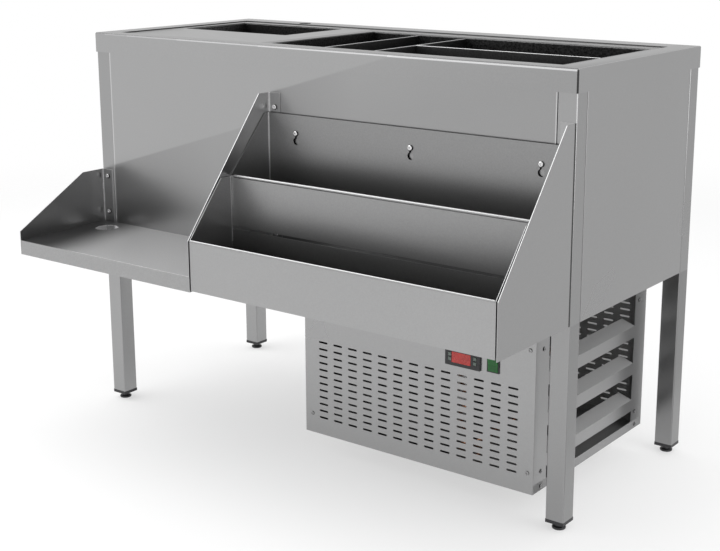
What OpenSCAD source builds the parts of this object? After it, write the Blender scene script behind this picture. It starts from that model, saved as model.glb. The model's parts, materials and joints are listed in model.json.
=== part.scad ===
// Cocktail station: stainless worktop on four legs with a hand sink, an insulated ice well,
// a blender shelf, two bottle rails and a small condensing unit hung under the body.
// Lengths are millimetres. X runs to the right, -Y is the bartender's side, Z is up.

/* [Body] */
// Width of the worktop
body_w = 1200; // [1100:10:1400]
// Depth of the worktop, front to back
body_d = 500; // [480:5:600]
// Height of the worktop's rim above the floor
body_h = 850; // [830:5:950]
// How far the rails and the shelf reach out in front of the worktop
reach = 240; // [236:1:260]
// Height of the body panels' lower edge above the floor
panel_low = 395; // [380:1:400]
// Thickness of the body panels, shelf and brackets
sheet_t = 1.5; // [1:0.1:2]
// Depth of the folded return at the panels' lower edge
hem = 12; // [8:1:20]

/* [Worktop] */
// Thickness of the worktop sheet
top_t = 1.5; // [1:0.1:2]
// Height of the worktop's downturned skirt
skirt_h = 42.5; // [30:0.5:60]
// Radius of the worktop's upper edges
edge_r = 2; // [1:0.5:4]
// Drop from the raised rim to the recessed deck
deck_drop = 2; // [1:0.5:4]
// Width of the rim along the front
rim_front = 35; // [30:1:38]
// Width of the rim along the back
rim_back = 55; // [50:1:70]
// Width of the rim at each end
rim_side = 44.5; // [42:0.5:50]
// Radius of the tap hole
tap_r = 14; // [10:0.5:18]
// Distance of the tap hole's centre from the back edge
tap_back = 35; // [25:1:40]
// Distance of the tap hole's centre from the left end
tap_left = 212.5; // [180:0.5:240]

/* [Legs and feet] */
// Side of the square leg tube
leg = 38; // [30:1:40]
// Wall of the leg tube
leg_wall = 1.5; // [1:0.1:2]
// Height of the leg tube's lower end above the floor
leg_low = 20.5; // [18:0.5:30]
// Height of the plastic plug's flange
plug_h = 7; // [4:0.5:10]
// Height of the plug's body inside the tube
plug_in = 25; // [15:1:40]
// Radius of the foot's disc
foot_r = 13; // [12:0.5:18]
// Height of the foot's disc
foot_h = 5.5; // [3:0.5:8]
// Radius of the foot's neck
neck_r = 7.5; // [6:0.5:10]
// Radius of the foot's threaded stud
stud_r = 5; // [4:0.5:6]
// Length of the stud above the neck
stud_len = 50; // [45:1:70]

/* [Sink] */
// Width of the hand sink
sink_w = 300; // [240:5:330]
// Depth of the hand sink, front to back
sink_d = 200; // [160:5:220]
// Height of the hand sink's wall
sink_h = 150; // [100:5:200]
// Distance of the sink's centre from the left end
sink_left = 219.5; // [200:0.5:230]
// Distance of the sink's centre from the front edge
sink_front = 310; // [280:1:320]
// Thickness of the sink and ice well sheet
bowl_t = 1; // [0.8:0.1:1.5]
// Radius of the drain's cup
cup_r = 25; // [20:1:30]
// Radius of the sink's outlet pipe
outlet_r = 20; // [16:1:20]

/* [Ice well] */
// Depth of the ice well, front to back
well_d = 347; // [300:1:355]
// Height of the ice well's wall
well_h = 300; // [250:5:320]
// Distance of the ice well's left wall from the left end
well_left = 473; // [470:1:480]
// Distance of the ice well's front wall from the front edge
well_front = 45; // [42:1:50]
// Width of the liner's flange at the left
flange_left = 26; // [15:1:30]
// Width of the liner's flange at the back
flange_back = 23; // [15:1:30]
// Width of the liner's flange at the front and at the right
flange_near = 6; // [3:1:8]
// Thickness of the insulation at the left, front and back
foam = 30; // [20:1:30]
// Thickness of the insulation at the right, beside the leg
foam_right = 13; // [8:1:20]
// Thickness of the insulation under the well
foam_under = 40; // [30:1:50]
// Thickness of the lift-out dividers
divider_t = 1.5; // [1:0.1:2]
// Distance of the first divider from the well's left wall
divider_1_x = 120; // [90:1:140]
// Distance of the second divider from the well's left wall
divider_2_x = 243; // [220:1:300]
// Distance of the cross divider from the well's front wall
divider_3_y = 165; // [120:1:220]
// Height of the perforated false bottom
grid_h = 25; // [15:1:40]
// Radius of the ice well's drain pipe
drain_r = 13.35; // [10:0.05:15]

/* [Shelf] */
// Height of the shelf's top above the floor
shelf_z = 426; // [410:1:450]
// Height of the shelf's apron
apron_h = 31.5; // [20:0.5:40]
// Distance of the shelf's right end from the worktop's left end
shelf_w = 503; // [480:1:503]
// Radius of the cable hole in the shelf
cable_r = 25; // [15:1:30]
// Height of the side panel's top above the shelf
side_up = 119.5; // [80:0.5:160]
// Height of the side panel's front above the shelf
side_front_up = 19; // [10:1:40]

/* [Bottle rails] */
// Distance of the left bracket's outer face from the worktop's left end
rail_left = 504.5; // [504.5:0.5:540]
// Distance of the brackets' top below the worktop's rim
bracket_drop = 93; // [60:1:110]
// Distance of the brackets' front corner below the worktop's rim
nose_drop = 353; // [330:1:370]
// Width of the brackets' folded flange
bracket_flange = 28.5; // [20:0.5:40]
// Thickness of the rails' sheet
rail_t = 1.2; // [1:0.1:1.5]
// Depth of each bottle rail, front to back
rail_d = 118; // [100:1:118]
// Gap between the body and the upper rail, which clears the bracket bolts' heads
rail_gap = 3.8; // [3.4:0.1:6]
// Distance of the upper rail's underside below the worktop's rim
upper_low_drop = 345; // [330:1:350]
// Distance of the upper rail's front lip below the worktop's rim
upper_lip_drop = 243; // [225:1:260]
// Distance of the upper rail's back panel below the worktop's rim
upper_top_drop = 132.5; // [125:0.5:150]
// Height of the lower rail's underside above the floor
lower_low = 398.5; // [396:0.5:405]
// Radius of the rolled lips
lip_r = 2.2; // [1.5:0.1:3]
// Distance of the three hanging bolts below the worktop's rim
hook_drop = 169.5; // [160:0.5:190]

/* [Condensing unit] */
// Width of the unit
unit_w = 542; // [540:1:560]
// Distance of the unit's right wall from the worktop's right end
unit_right = 66.5; // [60:0.5:80]
// Depth of the unit, front to back
unit_d = 446; // [440:1:460]
// Height of the unit's underside above the floor
unit_low = 59; // [45:1:65]
// Thickness of the unit's sheet
unit_t = 1.2; // [1:0.1:1.5]
// Height of the unit's tray edge
tray_h = 18; // [12:1:22]
// Columns of slots in the grille
slot_cols = 13; // [8:1:13]
// Rows of slots in the front grille
slot_rows = 12; // [6:1:12]
// Rows of slots in the back grille
back_rows = 16; // [6:1:16]
// Width of one slot
slot_w = 22.3; // [12:0.1:26]
// Height of one slot
slot_h = 4; // [3:0.1:6]
// Distance from slot to slot along a row
slot_pitch_x = 37.37; // [30:0.01:38]
// Distance from row to row
slot_pitch_z = 14.7; // [10:0.1:14.7]
// Width of the side window's front and back posts
post_w = 48; // [40:1:60]
// Number of side slats
slat_n = 3; // [1:1:3]
// Height of one slat's outer face
slat_h = 25; // [15:1:30]
// Distance from slat to slat
slat_pitch = 80; // [60:1:85]
// How far a slat's return leans inwards
slat_in = 30; // [15:1:40]
// How far a slat's return rises
slat_rise = 10; // [5:1:15]

/* [Controls] */
// Width of the temperature controller's bezel
ctrl_w = 77.5; // [60:0.5:80]
// Height of the temperature controller's bezel
ctrl_h = 35; // [28:0.5:36]
// Distance of the controller's centre from the unit's left wall
ctrl_x = 386; // [300:0.5:390]
// Height of the controller's centre above the unit's underside
ctrl_z = 234.5; // [230:0.5:250]
// Side of a controller key
key_w = 6.5; // [4:0.5:7]
// Distance a key travels
key_travel = 0.8; // [0.3:0.1:1]
// Width of the switch's frame
switch_w = 26.6; // [22:0.1:30]
// Height of the switch's frame
switch_h = 31; // [28:0.1:32]
// Distance of the switch's centre from the unit's left wall
switch_x = 452.5; // [448:0.5:460]
// Swing of the rocker to each side
rocker_swing = 8; // [5:1:10]

/* [Machinery] */
// Radius of the compressor's shell
comp_r = 72; // [60:1:80]
// Height of the compressor's shell
comp_h = 160; // [130:1:190]
// Distance of the compressor's axis from the unit's left wall
comp_left = 180; // [150:5:200]
// Distance of the compressor's axis from the unit's back
comp_back = 150; // [120:5:170]
// Width of the condenser
cond_w = 290; // [250:5:300]
// Length of the filter drier's body
drier_l = 90; // [70:5:110]
// Radius of the fan blades
fan_r = 82; // [60:1:90]
// Width of a fan blade
blade_w = 48; // [30:1:50]
// Length of the junction box
box_l = 100; // [60:5:120]
// Height of the junction box
box_h = 90; // [60:5:100]
// How far the junction box stands out from the unit's left wall
box_d = 45; // [30:1:60]
// Width of the power socket's body
inlet_w = 28; // [26:0.5:34]
// Height of the power socket's body
inlet_h = 20; // [18:0.5:26]
// Depth of the power socket's body
inlet_d = 24; // [20:1:40]
// Radius of the fan's shaft
shaft_r = 3; // [2:0.5:4]
// Radius of the copper pipes
pipe_r = 4; // [3:0.5:5]
// Runs of pipe under the ice well
coil_runs = 7; // [3:2:7]
// Distance between the runs of pipe
coil_pitch = 40; // [30:1:40]

/* [Fits] */
// Radial clearance of a turning or sliding pin
fit_gap = 0.05; // [0.02:0.01:0.1]
// Clearance between loose sheet parts
loose = 0.3; // [0.2:0.05:0.4]

/* [Hidden] */
$fn = 48;
front_y = (reach - body_d) / 2;
x_l = -body_w / 2;
x_r = body_w / 2;
out_l = x_l + sheet_t;
out_r = x_r - sheet_t;
ux1 = x_r - unit_right;
ux0 = ux1 - unit_w;
face_y = sheet_t;
back_y = body_d - sheet_t;
in_y = face_y + sheet_t;
leg_top = body_h - top_t;
deck_z = body_h - deck_drop;
under_z = deck_z - top_t;
rim_l = x_l + rim_side;
rim_r = x_r - rim_side;
tap_x = x_l + tap_left;
tap_y = body_d - tap_back;
plug_z = leg_low - plug_h;
plug_in_w = leg - 2 * leg_wall - 0.4;
sink_x0 = x_l + sink_left - sink_w / 2;
sink_x1 = sink_x0 + sink_w;
sink_y0 = sink_front - sink_d / 2;
sink_y1 = sink_y0 + sink_d;
sink_floor = deck_z - sink_h;
sink_cx = x_l + sink_left;
bowl_flange = 12;
cup_low = sink_floor - 40;
outlet_low = sink_floor - 98;
ledge_z = sink_floor - 8;
nut_h = 7;
cup_flange_r = cup_r + 9;
cup_flange_h = 1.5;
case_t = 1;
leg_gap = 0.5;
well_x0 = x_l + well_left;
well_x1 = out_r - leg - leg_gap - case_t - foam_right - bowl_t;
well_y0 = well_front;
well_y1 = well_y0 + well_d;
well_floor = deck_z - well_h;
foam_x0 = well_x0 - bowl_t - foam;
foam_x1 = well_x1 + bowl_t + foam_right;
foam_y0 = well_y0 - bowl_t - foam;
foam_y1 = well_y1 + bowl_t + foam;
foam_z = well_floor - bowl_t - foam_under;
coil_z = well_floor - bowl_t - pipe_r - 0.1;
coil_x0 = well_x0 + 67;
coil_x1 = well_x1 - 65;
coil_start = ux0 + 62;
coil_y0 = well_y0 + 45;
coil_bend = 12;
tail_low = foam_z - case_t - 25;
tail_run = 24.5;
drain_x = well_x0 + 24;
drain_y = well_y0 + 25;
drain_low = foam_z - case_t - 36;
guide_d = 4;
guide_t = 1.5;
guide_gap = 0.4;
guide_low = well_floor + grid_h + 6;
guide_h = well_h - grid_h - 40;
grid_t = 1.5;
grid_in = guide_d + 1.5;
grid_top = well_floor + grid_h;
divider_top = deck_z - 2;
div_1 = well_x0 + divider_1_x;
div_2 = well_x0 + divider_2_x;
div_3 = well_y0 + divider_3_y;
shelf_low = shelf_z - apron_h;
shelf_x1 = x_l + shelf_w;
shelf_y0 = -(reach - 2.5);
cable_x = out_l + 58.5;
cable_y = -47;
side_flange = 32.5;
shelf_bolt_x = out_l + 16.8;
shelf_bolt_z = [shelf_z + 23, shelf_z + 104];
brk_l = x_l + rail_left;
brk_r = out_r;
brk_low = panel_low + 1;
bracket_top = body_h - bracket_drop;
bracket_nose = body_h - nose_drop;
upper_low = body_h - upper_low_drop;
upper_lip = body_h - upper_lip_drop;
upper_top = body_h - upper_top_drop;
hook_z = body_h - hook_drop;
nose_y = -30;
brk_bolt_l = brk_l + 15.9;
brk_bolt_r = brk_r - 15.9;
brk_bolt_z = [bracket_top - 29, brk_low + 74];
rail_x0 = brk_l + sheet_t + 1;
rail_x1 = brk_r - sheet_t - 3;
upper_y1 = -rail_gap;
upper_y0 = -rail_d - 1;
lower_y1 = upper_y0 - 0.8;
lip_over = lip_r - rail_t / 2;
roll_r = lip_r + 1;
lower_y0 = -reach + lip_over + 0.1;
lower_x0 = rail_x0 + 1;
lower_x1 = rail_x1 - 0.5;
lower_lip = bracket_nose + 0.5;
hook_x = [rail_x0 + 72, (rail_x0 + rail_x1) / 2 + 6.5, rail_x1 - 58];
key_drop = 15.5;
hook_r = 3;
hook_head_r = 5.5;
pin_bolt_r = 3;
bolt_head_r = 5.5;
bolt_head_h = 3;
rail_bolt = [[lower_y0 + 40, lower_low + 26], [lower_y1 - 25, lower_low + 26]];
unit_top = panel_low - 0.5;
rail_z = panel_low + sheet_t;
rail_h = 25;
rail_w = 30;
tray_t = 1.5;
tray_floor = unit_low + tray_t;
tray_top = unit_low + tray_h;
side_y0 = unit_t;
side_y1 = unit_d - unit_t;
hem_y = in_y + hem + 1;
slot_x = ux0 + 36.3;
slot_z = unit_low + 35;
win_top = unit_top - 24.5;
slat_z = unit_low + 42;
lip_w = 28;
screw_r = 2;
screw_head = 4.2;
front_screw = [[ux0 + 17.2, 278], [ux0 + 17.2, 41], [ux1 - 12.5, 278], [ux1 - 12.5, 41]];
side_screw = [[29, 276], [29, 38], [29, 8.6], [unit_d - 30, 278], [unit_d - 30, 37], [unit_d - 30, 8.6]];
cx = ux0 + ctrl_x;
cz = unit_low + ctrl_z;
bezel_d = 4;
ctrl_body_w = ctrl_w - 6.5;
ctrl_body_h = ctrl_h - 6;
ctrl_body_d = 55;
lens_w = 42;
lens_h = 21;
lens_x = cx - 2.5;
lens_z = cz - 0.4;
key_dx = 28;
key_dz = 4.6;
sx = ux0 + switch_x;
sz = unit_low + ctrl_z + 1;
sw_wall = 1.5;
sw_open_w = switch_w - 4.6;
sw_open_h = switch_h - 4;
sw_depth = 28;
sw_pocket = 8;
rocker_pin_r = 1.5;
fan_x = ux0 + 215;
fan_z = unit_low + 131;
cond_x0 = ux0 + 70;
cond_x1 = cond_x0 + cond_w;
cond_y0 = 30;
cond_y1 = 75;
cond_h = 225;
fin_in = 14;
bend_n = 5;
shroud_y1 = cond_y1 + 22;
motor_y0 = shroud_y1 + 12;
motor_r = 30;
motor_l = 45;
motor_y1 = motor_y0 + motor_l;
comp_x = ux0 + comp_left;
comp_y = unit_d - comp_back;
mount_h = 18;
plate_t = 3;
comp_z = tray_floor + mount_h + plate_t;
comp_foot = 18;
comp_round = 12;
mount_r = 11;
mount_neck = 5;
mount_cap_r = 9;
mount_cap_h = 4;
mount_out = 6;
mount_in = 16;
mount_x = comp_r + mount_out;
mount_y = comp_r - mount_in;
term_d = 34;
term_w = 44;
term_h = 50;
blade_t = 1.5;
drier_cone = 12;
drier_stub = 10;
drier_r = 10;
drier_x = cond_x1 - 30;
drier_y = motor_y1 + 40;
drier_z = tray_floor + drier_r;
inlet_left = 75;
inlet_down = 35;
inlet_x = ux0 + inlet_left;
inlet_z = unit_top - inlet_down;
inlet_wall = 2;
inlet_face = 2.5;
inlet_ear = 8;
inlet_rim = 4;
pin_w = 2;
pin_h = 4;
pin_l = 12;
box_back = 150;
box_up = 60;
box_y0 = side_y1 - box_back;
box_z0 = tray_top + box_up;

// The modules below measure Y from the worktop's front edge
module placed() {
    translate([0, front_y, 0]) children();
}

// A block from its two opposite corners
module block(a, b) {
    translate(a) cube(b - a);
}

// A round bar of radius r and length l along Y, from p towards the back
module bar_y(p, r, l) {
    translate(p) rotate([-90, 0, 0]) cylinder(r = r, h = l);
}

// A round bar of radius r and length l along X
module bar_x(p, r, l) {
    translate(p) rotate([0, 90, 0]) cylinder(r = r, h = l);
}

// A round bar of radius r and length l along Z
module bar_z(p, r, l) {
    translate(p) cylinder(r = r, h = l);
}

// A plate that stands across X, from its outline in Y and Z
module plate_x(x, t, outline) {
    translate([x, 0, 0]) rotate([90, 0, 90]) linear_extrude(t) polygon(outline);
}

// A folded strip that runs along Y, from its outline in X and Z
module strip_y(y, l, outline) {
    translate([0, y + l, 0]) rotate([90, 0, 0]) linear_extrude(l) polygon(outline);
}

// A block with rounded upper edges
module soft_block(a, b, r) {
    block(a, [b[0], b[1], b[2] - r]);
    block([a[0] + r, a[1] + r, a[2]], [b[0] - r, b[1] - r, b[2]]);
    for (y = [a[1] + r, b[1] - r]) bar_x([a[0] + r, y, b[2] - r], r, b[0] - a[0] - 2 * r);
    for (x = [a[0] + r, b[0] - r]) bar_y([x, a[1] + r, b[2] - r], r, b[1] - a[1] - 2 * r);
    for (x = [a[0] + r, b[0] - r], y = [a[1] + r, b[1] - r]) translate([x, y, b[2] - r]) sphere(r);
}

// A bent pipe: straight runs between points, with a slightly wider ball at each bend
module pipe(points, r) {
    for (i = [0 : len(points) - 2]) {
        run = points[i + 1] - points[i];
        l = norm(run);
        translate(points[i])
            rotate([0, acos(run[2] / l), atan2(run[1], run[0])]) cylinder(r = r, h = l);
    }
    for (i = [1 : 1 : len(points) - 2]) translate(points[i]) sphere(r + 0.3);
}

// The four corners where the legs stand, left front first
module at_legs() {
    for (x = [out_l, out_r - leg], y = [face_y, back_y - leg]) translate([x, y, 0]) children();
}

module legs() placed() color("silver") at_legs() difference() {
    block([0, 0, leg_low], [leg, leg, leg_top]);
    block([leg_wall, leg_wall, leg_low - 1], [leg - leg_wall, leg - leg_wall, leg_top + 1]);
}

module leg_plugs() placed() color("black") at_legs() difference() {
    union() {
        block([0, 0, plug_z], [leg, leg, leg_low]);
        translate([(leg - plug_in_w) / 2, (leg - plug_in_w) / 2, leg_low - 1])
            cube([plug_in_w, plug_in_w, plug_in + 1]);
    }
    bar_z([leg / 2, leg / 2, plug_z - 1], stud_r + fit_gap, plug_h + plug_in + 2);
}

// An adjustable foot: disc, neck and threaded stud
module foot(x, y) placed() color("dimgray") translate([x + leg / 2, y + leg / 2, 0]) {
    cylinder(r = foot_r, h = foot_h);
    cylinder(r = neck_r, h = plug_z);
    cylinder(r = stud_r, h = plug_z + stud_len);
}

module foot_front_left() foot(out_l, face_y);
module foot_front_right() foot(out_r - leg, face_y);
module foot_back_left() foot(out_l, back_y - leg);
module foot_back_right() foot(out_r - leg, back_y - leg);

module worktop() placed() color("silver") difference() {
    soft_block([x_l, 0, body_h - skirt_h], [x_r, body_d, body_h], edge_r);
    block([out_l, face_y, 0], [out_r, back_y, under_z]);
    difference() {
        block([out_l, face_y, under_z - 1], [out_r, back_y, leg_top]);
        block([rim_l - top_t, rim_front - top_t, 0],
            [rim_r + top_t, body_d - rim_back + top_t, body_h]);
    }
    block([rim_l, rim_front, deck_z], [rim_r, body_d - rim_back, body_h + 1]);
    block([sink_x0, sink_y0, 0], [sink_x1, sink_y1, body_h]);
    block([well_x0 - bowl_t, well_y0 - bowl_t, 0], [well_x1 + bowl_t, well_y1 + bowl_t, body_h]);
    bar_z([tap_x, tap_y, under_z], tap_r, body_h);
}

// A body panel across Y with a return folded inwards at its lower edge
module wide_panel(y, inward) {
    y1 = inward > 0 ? y : y - hem;
    block([out_l + leg + loose, y, panel_low], [out_r - leg - loose, y + sheet_t, under_z]);
    block([out_l + leg + loose, y1, panel_low],
        [out_r - leg - loose, y1 + hem + sheet_t, panel_low + sheet_t]);
}

module front_panel() placed() color("silver") difference() {
    wide_panel(face_y, 1);
    for (x = hook_x) bar_y([x, 0, hook_z], hook_r + 0.1, 10);
    for (z = brk_bolt_z) bar_y([brk_bolt_l, 0, z], pin_bolt_r + 0.1, 10);
}

module back_panel() placed() color("silver") wide_panel(back_y - sheet_t, -1);

// A body panel across X with a return folded inwards at its lower edge
module end_panel(x, inward) {
    x1 = inward > 0 ? x : x - hem;
    block([x, face_y + leg + loose, panel_low], [x + sheet_t, back_y - leg - loose, under_z]);
    block([x1, face_y + leg + loose, panel_low],
        [x1 + hem + sheet_t, back_y - leg - loose, panel_low + sheet_t]);
}

module left_panel() placed() color("silver") end_panel(out_l, 1);
module right_panel() placed() color("silver") end_panel(out_r - sheet_t, -1);

// Two channels across the body that carry the condensing unit
module hanger_rails() placed() color("gray") {
    for (x = [ux0, ux1 - rail_w]) difference() {
        block([x, in_y, rail_z], [x + rail_w, back_y - sheet_t, rail_z + rail_h]);
        block([x + 2, 0, rail_z + 2], [x + rail_w - 2, body_d, rail_z + rail_h + 1]);
    }
}

module sink_bowl() placed() color("silver") difference() {
    union() {
        block([sink_x0 - bowl_t, sink_y0 - bowl_t, sink_floor - bowl_t],
            [sink_x1 + bowl_t, sink_y1 + bowl_t, under_z]);
        block([sink_x0 - bowl_flange, sink_y0 - bowl_flange, under_z - bowl_t],
            [sink_x1 + bowl_flange, sink_y1 + bowl_flange, under_z]);
    }
    block([sink_x0, sink_y0, sink_floor], [sink_x1, sink_y1, body_h]);
    bar_z([sink_cx, sink_front, 0], cup_r + loose, body_h);
}

module sink_drain() placed() color("lightgray") translate([sink_cx, sink_front, 0]) difference() {
    union() {
        bar_z([0, 0, sink_floor], cup_flange_r, cup_flange_h);
        bar_z([0, 0, cup_low], cup_r, sink_floor - cup_low + 1);
        bar_z([0, 0, outlet_low], outlet_r, cup_low - outlet_low + 1);
    }
    bar_z([0, 0, ledge_z], cup_r - 3, 20);
    bar_z([0, 0, cup_low + 3], cup_r - 6, sink_h);
    bar_z([0, 0, outlet_low - 1], outlet_r - 2, sink_h);
}

module sink_drain_nut() placed() color("gray") translate([sink_cx, sink_front, 0]) difference() {
    bar_z([0, 0, sink_floor - bowl_t - nut_h], cup_flange_r, nut_h);
    bar_z([0, 0, 0], cup_r + fit_gap, body_h);
}

// A perforated plate with a knob that sits on the drain's ledge
module sink_strainer() placed() color("lightgray") translate([sink_cx, sink_front, ledge_z]) {
    difference() {
        cylinder(r = cup_r - 3 - loose, h = 1.5);
        for (n = [0 : 7]) rotate(n * 45) translate([cup_r - 12, 0, -1]) cylinder(r = 2.5, h = 4);
    }
    cylinder(r = 3, h = 8);
    translate([0, 0, 7]) cylinder(r = 6, h = 4);
}

module well_liner() placed() color("silver") difference() {
    union() {
        block([well_x0 - bowl_t, well_y0 - bowl_t, well_floor - bowl_t],
            [well_x1 + bowl_t, well_y1 + bowl_t, deck_z + bowl_t]);
        block([well_x0 - flange_left, well_y0 - flange_near, deck_z],
            [well_x1 + flange_near, well_y1 + flange_back, deck_z + bowl_t]);
    }
    block([well_x0, well_y0, well_floor], [well_x1, well_y1, body_h + 1]);
    bar_z([drain_x, drain_y, 0], drain_r - 1.5, body_h);
}

// The under-floor pipe: straight runs joined by half turns, with a tail down at each end
module coil(r) {
    last = coil_runs - 1;
    bend = coil_pitch / 2;
    bar_x([coil_start, coil_y0, coil_z], r, coil_x1 - coil_start);
    for (i = [1 : last]) bar_x([coil_x0, coil_y0 + i * coil_pitch, coil_z], r, coil_x1 - coil_x0);
    for (i = [0 : last - 1]) {
        right = i % 2 == 0;
        translate([right ? coil_x1 : coil_x0, coil_y0 + (i + 0.5) * coil_pitch, coil_z])
            rotate(right ? -90 : 90) rotate_extrude(angle = 180) translate([bend, 0]) circle(r);
    }
    for (end = [[coil_start, coil_y0, 180], [coil_x1, coil_y0 + last * coil_pitch, 0]]) {
        translate([end[0], end[1], coil_z - coil_bend]) rotate(end[2]) rotate([90, 0, 0])
            rotate_extrude(angle = 90) translate([coil_bend, 0]) circle(r);
        tail_x = end[0] + (end[2] == 0 ? coil_bend : -coil_bend);
        bar_z([tail_x, end[1], tail_low], r, coil_z - coil_bend - tail_low);
    }
}

// The tails of the under-floor pipe, wider by a clearance, for the holes that they pass
module tail_holes() {
    for (end = [[coil_start - coil_bend, 0], [coil_x1 + coil_bend, coil_runs - 1]])
        bar_z([end[0], coil_y0 + end[1] * coil_pitch, 0], pipe_r + loose, coil_z);
}

module well_insulation() placed() color("khaki") difference() {
    block([foam_x0, foam_y0, foam_z], [foam_x1, foam_y1, under_z - 1]);
    block([well_x0 - bowl_t, well_y0 - bowl_t, well_floor - bowl_t],
        [well_x1 + bowl_t, well_y1 + bowl_t, body_h]);
    block([coil_x0 - coil_pitch / 2 - 2 * pipe_r, coil_y0 - 2 * pipe_r, coil_z - pipe_r - 1],
        [coil_x1 + coil_pitch / 2 + 2 * pipe_r,
         coil_y0 + (coil_runs - 1) * coil_pitch + 2 * pipe_r, well_floor]);
    bar_z([coil_start, coil_y0, coil_z - coil_bend], coil_bend + pipe_r + 1, coil_bend);
    bar_z([coil_x1, coil_y0 + (coil_runs - 1) * coil_pitch, coil_z - coil_bend],
        coil_bend + pipe_r + 1, coil_bend);
    tail_holes();
    bar_z([drain_x, drain_y, 0], drain_r + 1, body_h);
}

module well_casing() placed() color("gainsboro") difference() {
    block([foam_x0 - case_t, foam_y0 - case_t, foam_z - case_t],
        [foam_x1 + case_t, foam_y1 + case_t, under_z]);
    block([foam_x0, foam_y0, foam_z], [foam_x1, foam_y1, body_h]);
    tail_holes();
    bar_z([drain_x, drain_y, 0], drain_r + 1, body_h);
}

module evaporator() placed() color("peru") coil(pipe_r);

module well_drain() placed() color("lightgray") difference() {
    union() {
        bar_z([drain_x, drain_y, drain_low], drain_r, well_floor - bowl_t - drain_low);
        bar_z([drain_x, drain_y, foam_z - case_t - 1], drain_r + 0.4,
            well_floor - bowl_t - foam_z + case_t + 1);
    }
    bar_z([drain_x, drain_y, drain_low - 1], drain_r - 1.5, body_h);
}

// One pair of ribs that guides the end of a divider that runs along Y
module rib_pair(x, y) {
    for (s = [-1, 1]) {
        rib_x = x + s * (divider_t / 2 + guide_gap + guide_t / 2) - guide_t / 2;
        block([rib_x, y, guide_low], [rib_x + guide_t, y + guide_d, guide_low + guide_h]);
    }
}

module divider_guides() placed() color("silver") {
    for (x = [div_1, div_2], y = [well_y0, well_y1 - guide_d]) rib_pair(x, y);
    for (s = [-1, 1]) {
        rib_y = div_3 + s * (divider_t / 2 + guide_gap + guide_t / 2) - guide_t / 2;
        block([well_x1 - guide_d, rib_y, guide_low], [well_x1, rib_y + guide_t, guide_low + guide_h]);
    }
}

module well_false_bottom() placed() color("silver") difference() {
    block([well_x0 + grid_in, well_y0 + grid_in, well_floor],
        [well_x1 - grid_in, well_y1 - grid_in, grid_top]);
    block([well_x0 + grid_in + grid_t, well_y0 + grid_in + grid_t, well_floor - 1],
        [well_x1 - grid_in - grid_t, well_y1 - grid_in - grid_t, grid_top - grid_t]);
    for (x = [well_x0 + 30 : 60 : well_x1 - 60], y = [well_y0 + 30 : 24 : well_y1 - 30])
        block([x, y, grid_top - 5], [x + 40, y + 6, grid_top + 1]);
}

// A full-depth divider that slides between two pairs of ribs
module divider(x) {
    block([x - divider_t / 2, well_y0 + loose, grid_top],
        [x + divider_t / 2, well_y1 - loose, divider_top]);
}

module divider_left() placed() color("silver") divider(div_1);

module divider_middle() placed() color("silver") {
    divider(div_2);
    for (s = [-1, 1]) {
        rib_y = div_3 + s * (divider_t / 2 + guide_gap + guide_t / 2) - guide_t / 2;
        block([div_2, rib_y, guide_low],
            [div_2 + divider_t / 2 + guide_d, rib_y + guide_t, guide_low + guide_h]);
    }
}

module divider_cross() placed() color("silver")
    block([div_2 + divider_t / 2 + loose, div_3 - divider_t / 2, grid_top],
        [well_x1 - loose, div_3 + divider_t / 2, divider_top]);

// A tray turned upside down: a top with four aprons, notched for the side panel's flange
module blender_shelf() placed() color("silver") difference() {
    block([out_l + sheet_t, shelf_y0, shelf_low], [shelf_x1, face_y, shelf_z]);
    block([out_l + 2 * sheet_t, shelf_y0 + sheet_t, shelf_low - 1],
        [shelf_x1 - sheet_t, 0, shelf_z - sheet_t]);
    block([out_l, 0, shelf_low - 1], [out_l + side_flange, face_y + 1, shelf_z + 1]);
    bar_z([cable_x, cable_y, shelf_low], cable_r, body_h);
}

module shelf_side_panel() placed() color("silver") difference() {
    union() {
        plate_x(out_l, sheet_t, [[face_y, shelf_low], [shelf_y0, shelf_low],
            [shelf_y0, shelf_z + side_front_up], [-58, shelf_z + side_up],
            [face_y, shelf_z + side_up]]);
        block([out_l, 0, shelf_low], [out_l + side_flange, face_y, shelf_z + side_up]);
    }
    for (z = shelf_bolt_z) bar_y([shelf_bolt_x, -1, z], pin_bolt_r + 0.1, 5);
}

// A bolt along Y with its round head in front and its end behind
module bolt_y(x, y, z, r, head_r, head_h, l) {
    bar_y([x, y - head_h, z], head_r, head_h);
    bar_y([x, y - head_h, z], r, l + head_h);
}

module shelf_bolts() placed() color("gray")
    for (z = shelf_bolt_z) bolt_y(shelf_bolt_x, 0, z, pin_bolt_r, bolt_head_r, bolt_head_h, face_y);

// A bracket plate with its flange folded against the body
module bracket(x, flange_x) {
    plate_x(x, sheet_t, [[face_y, brk_low], [-reach, brk_low], [-reach, bracket_nose],
        [nose_y, bracket_top], [face_y, bracket_top]]);
    block([flange_x, 0, brk_low], [flange_x + bracket_flange + sheet_t, face_y, bracket_top]);
}

module rail_bracket_left() placed() color("silver") difference() {
    bracket(brk_l, brk_l);
    for (z = brk_bolt_z) bar_y([brk_bolt_l, -1, z], pin_bolt_r + 0.1, 5);
    for (p = rail_bolt) bar_x([brk_l - 1, p[0], p[1]], pin_bolt_r + 0.1, 5);
}

module rail_bracket_right() placed() color("silver") difference() {
    bracket(brk_r - sheet_t, brk_r - sheet_t - bracket_flange);
    for (z = brk_bolt_z) bar_y([brk_bolt_r, -1, z], pin_bolt_r + 0.1, 5);
}

module bracket_bolts() placed() color("gray") for (z = brk_bolt_z) {
    bolt_y(brk_bolt_l, 0, z, pin_bolt_r, bolt_head_r, bolt_head_h, in_y + 4);
    bolt_y(brk_bolt_r, 0, z, pin_bolt_r, bolt_head_r, bolt_head_h, face_y);
}

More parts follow.
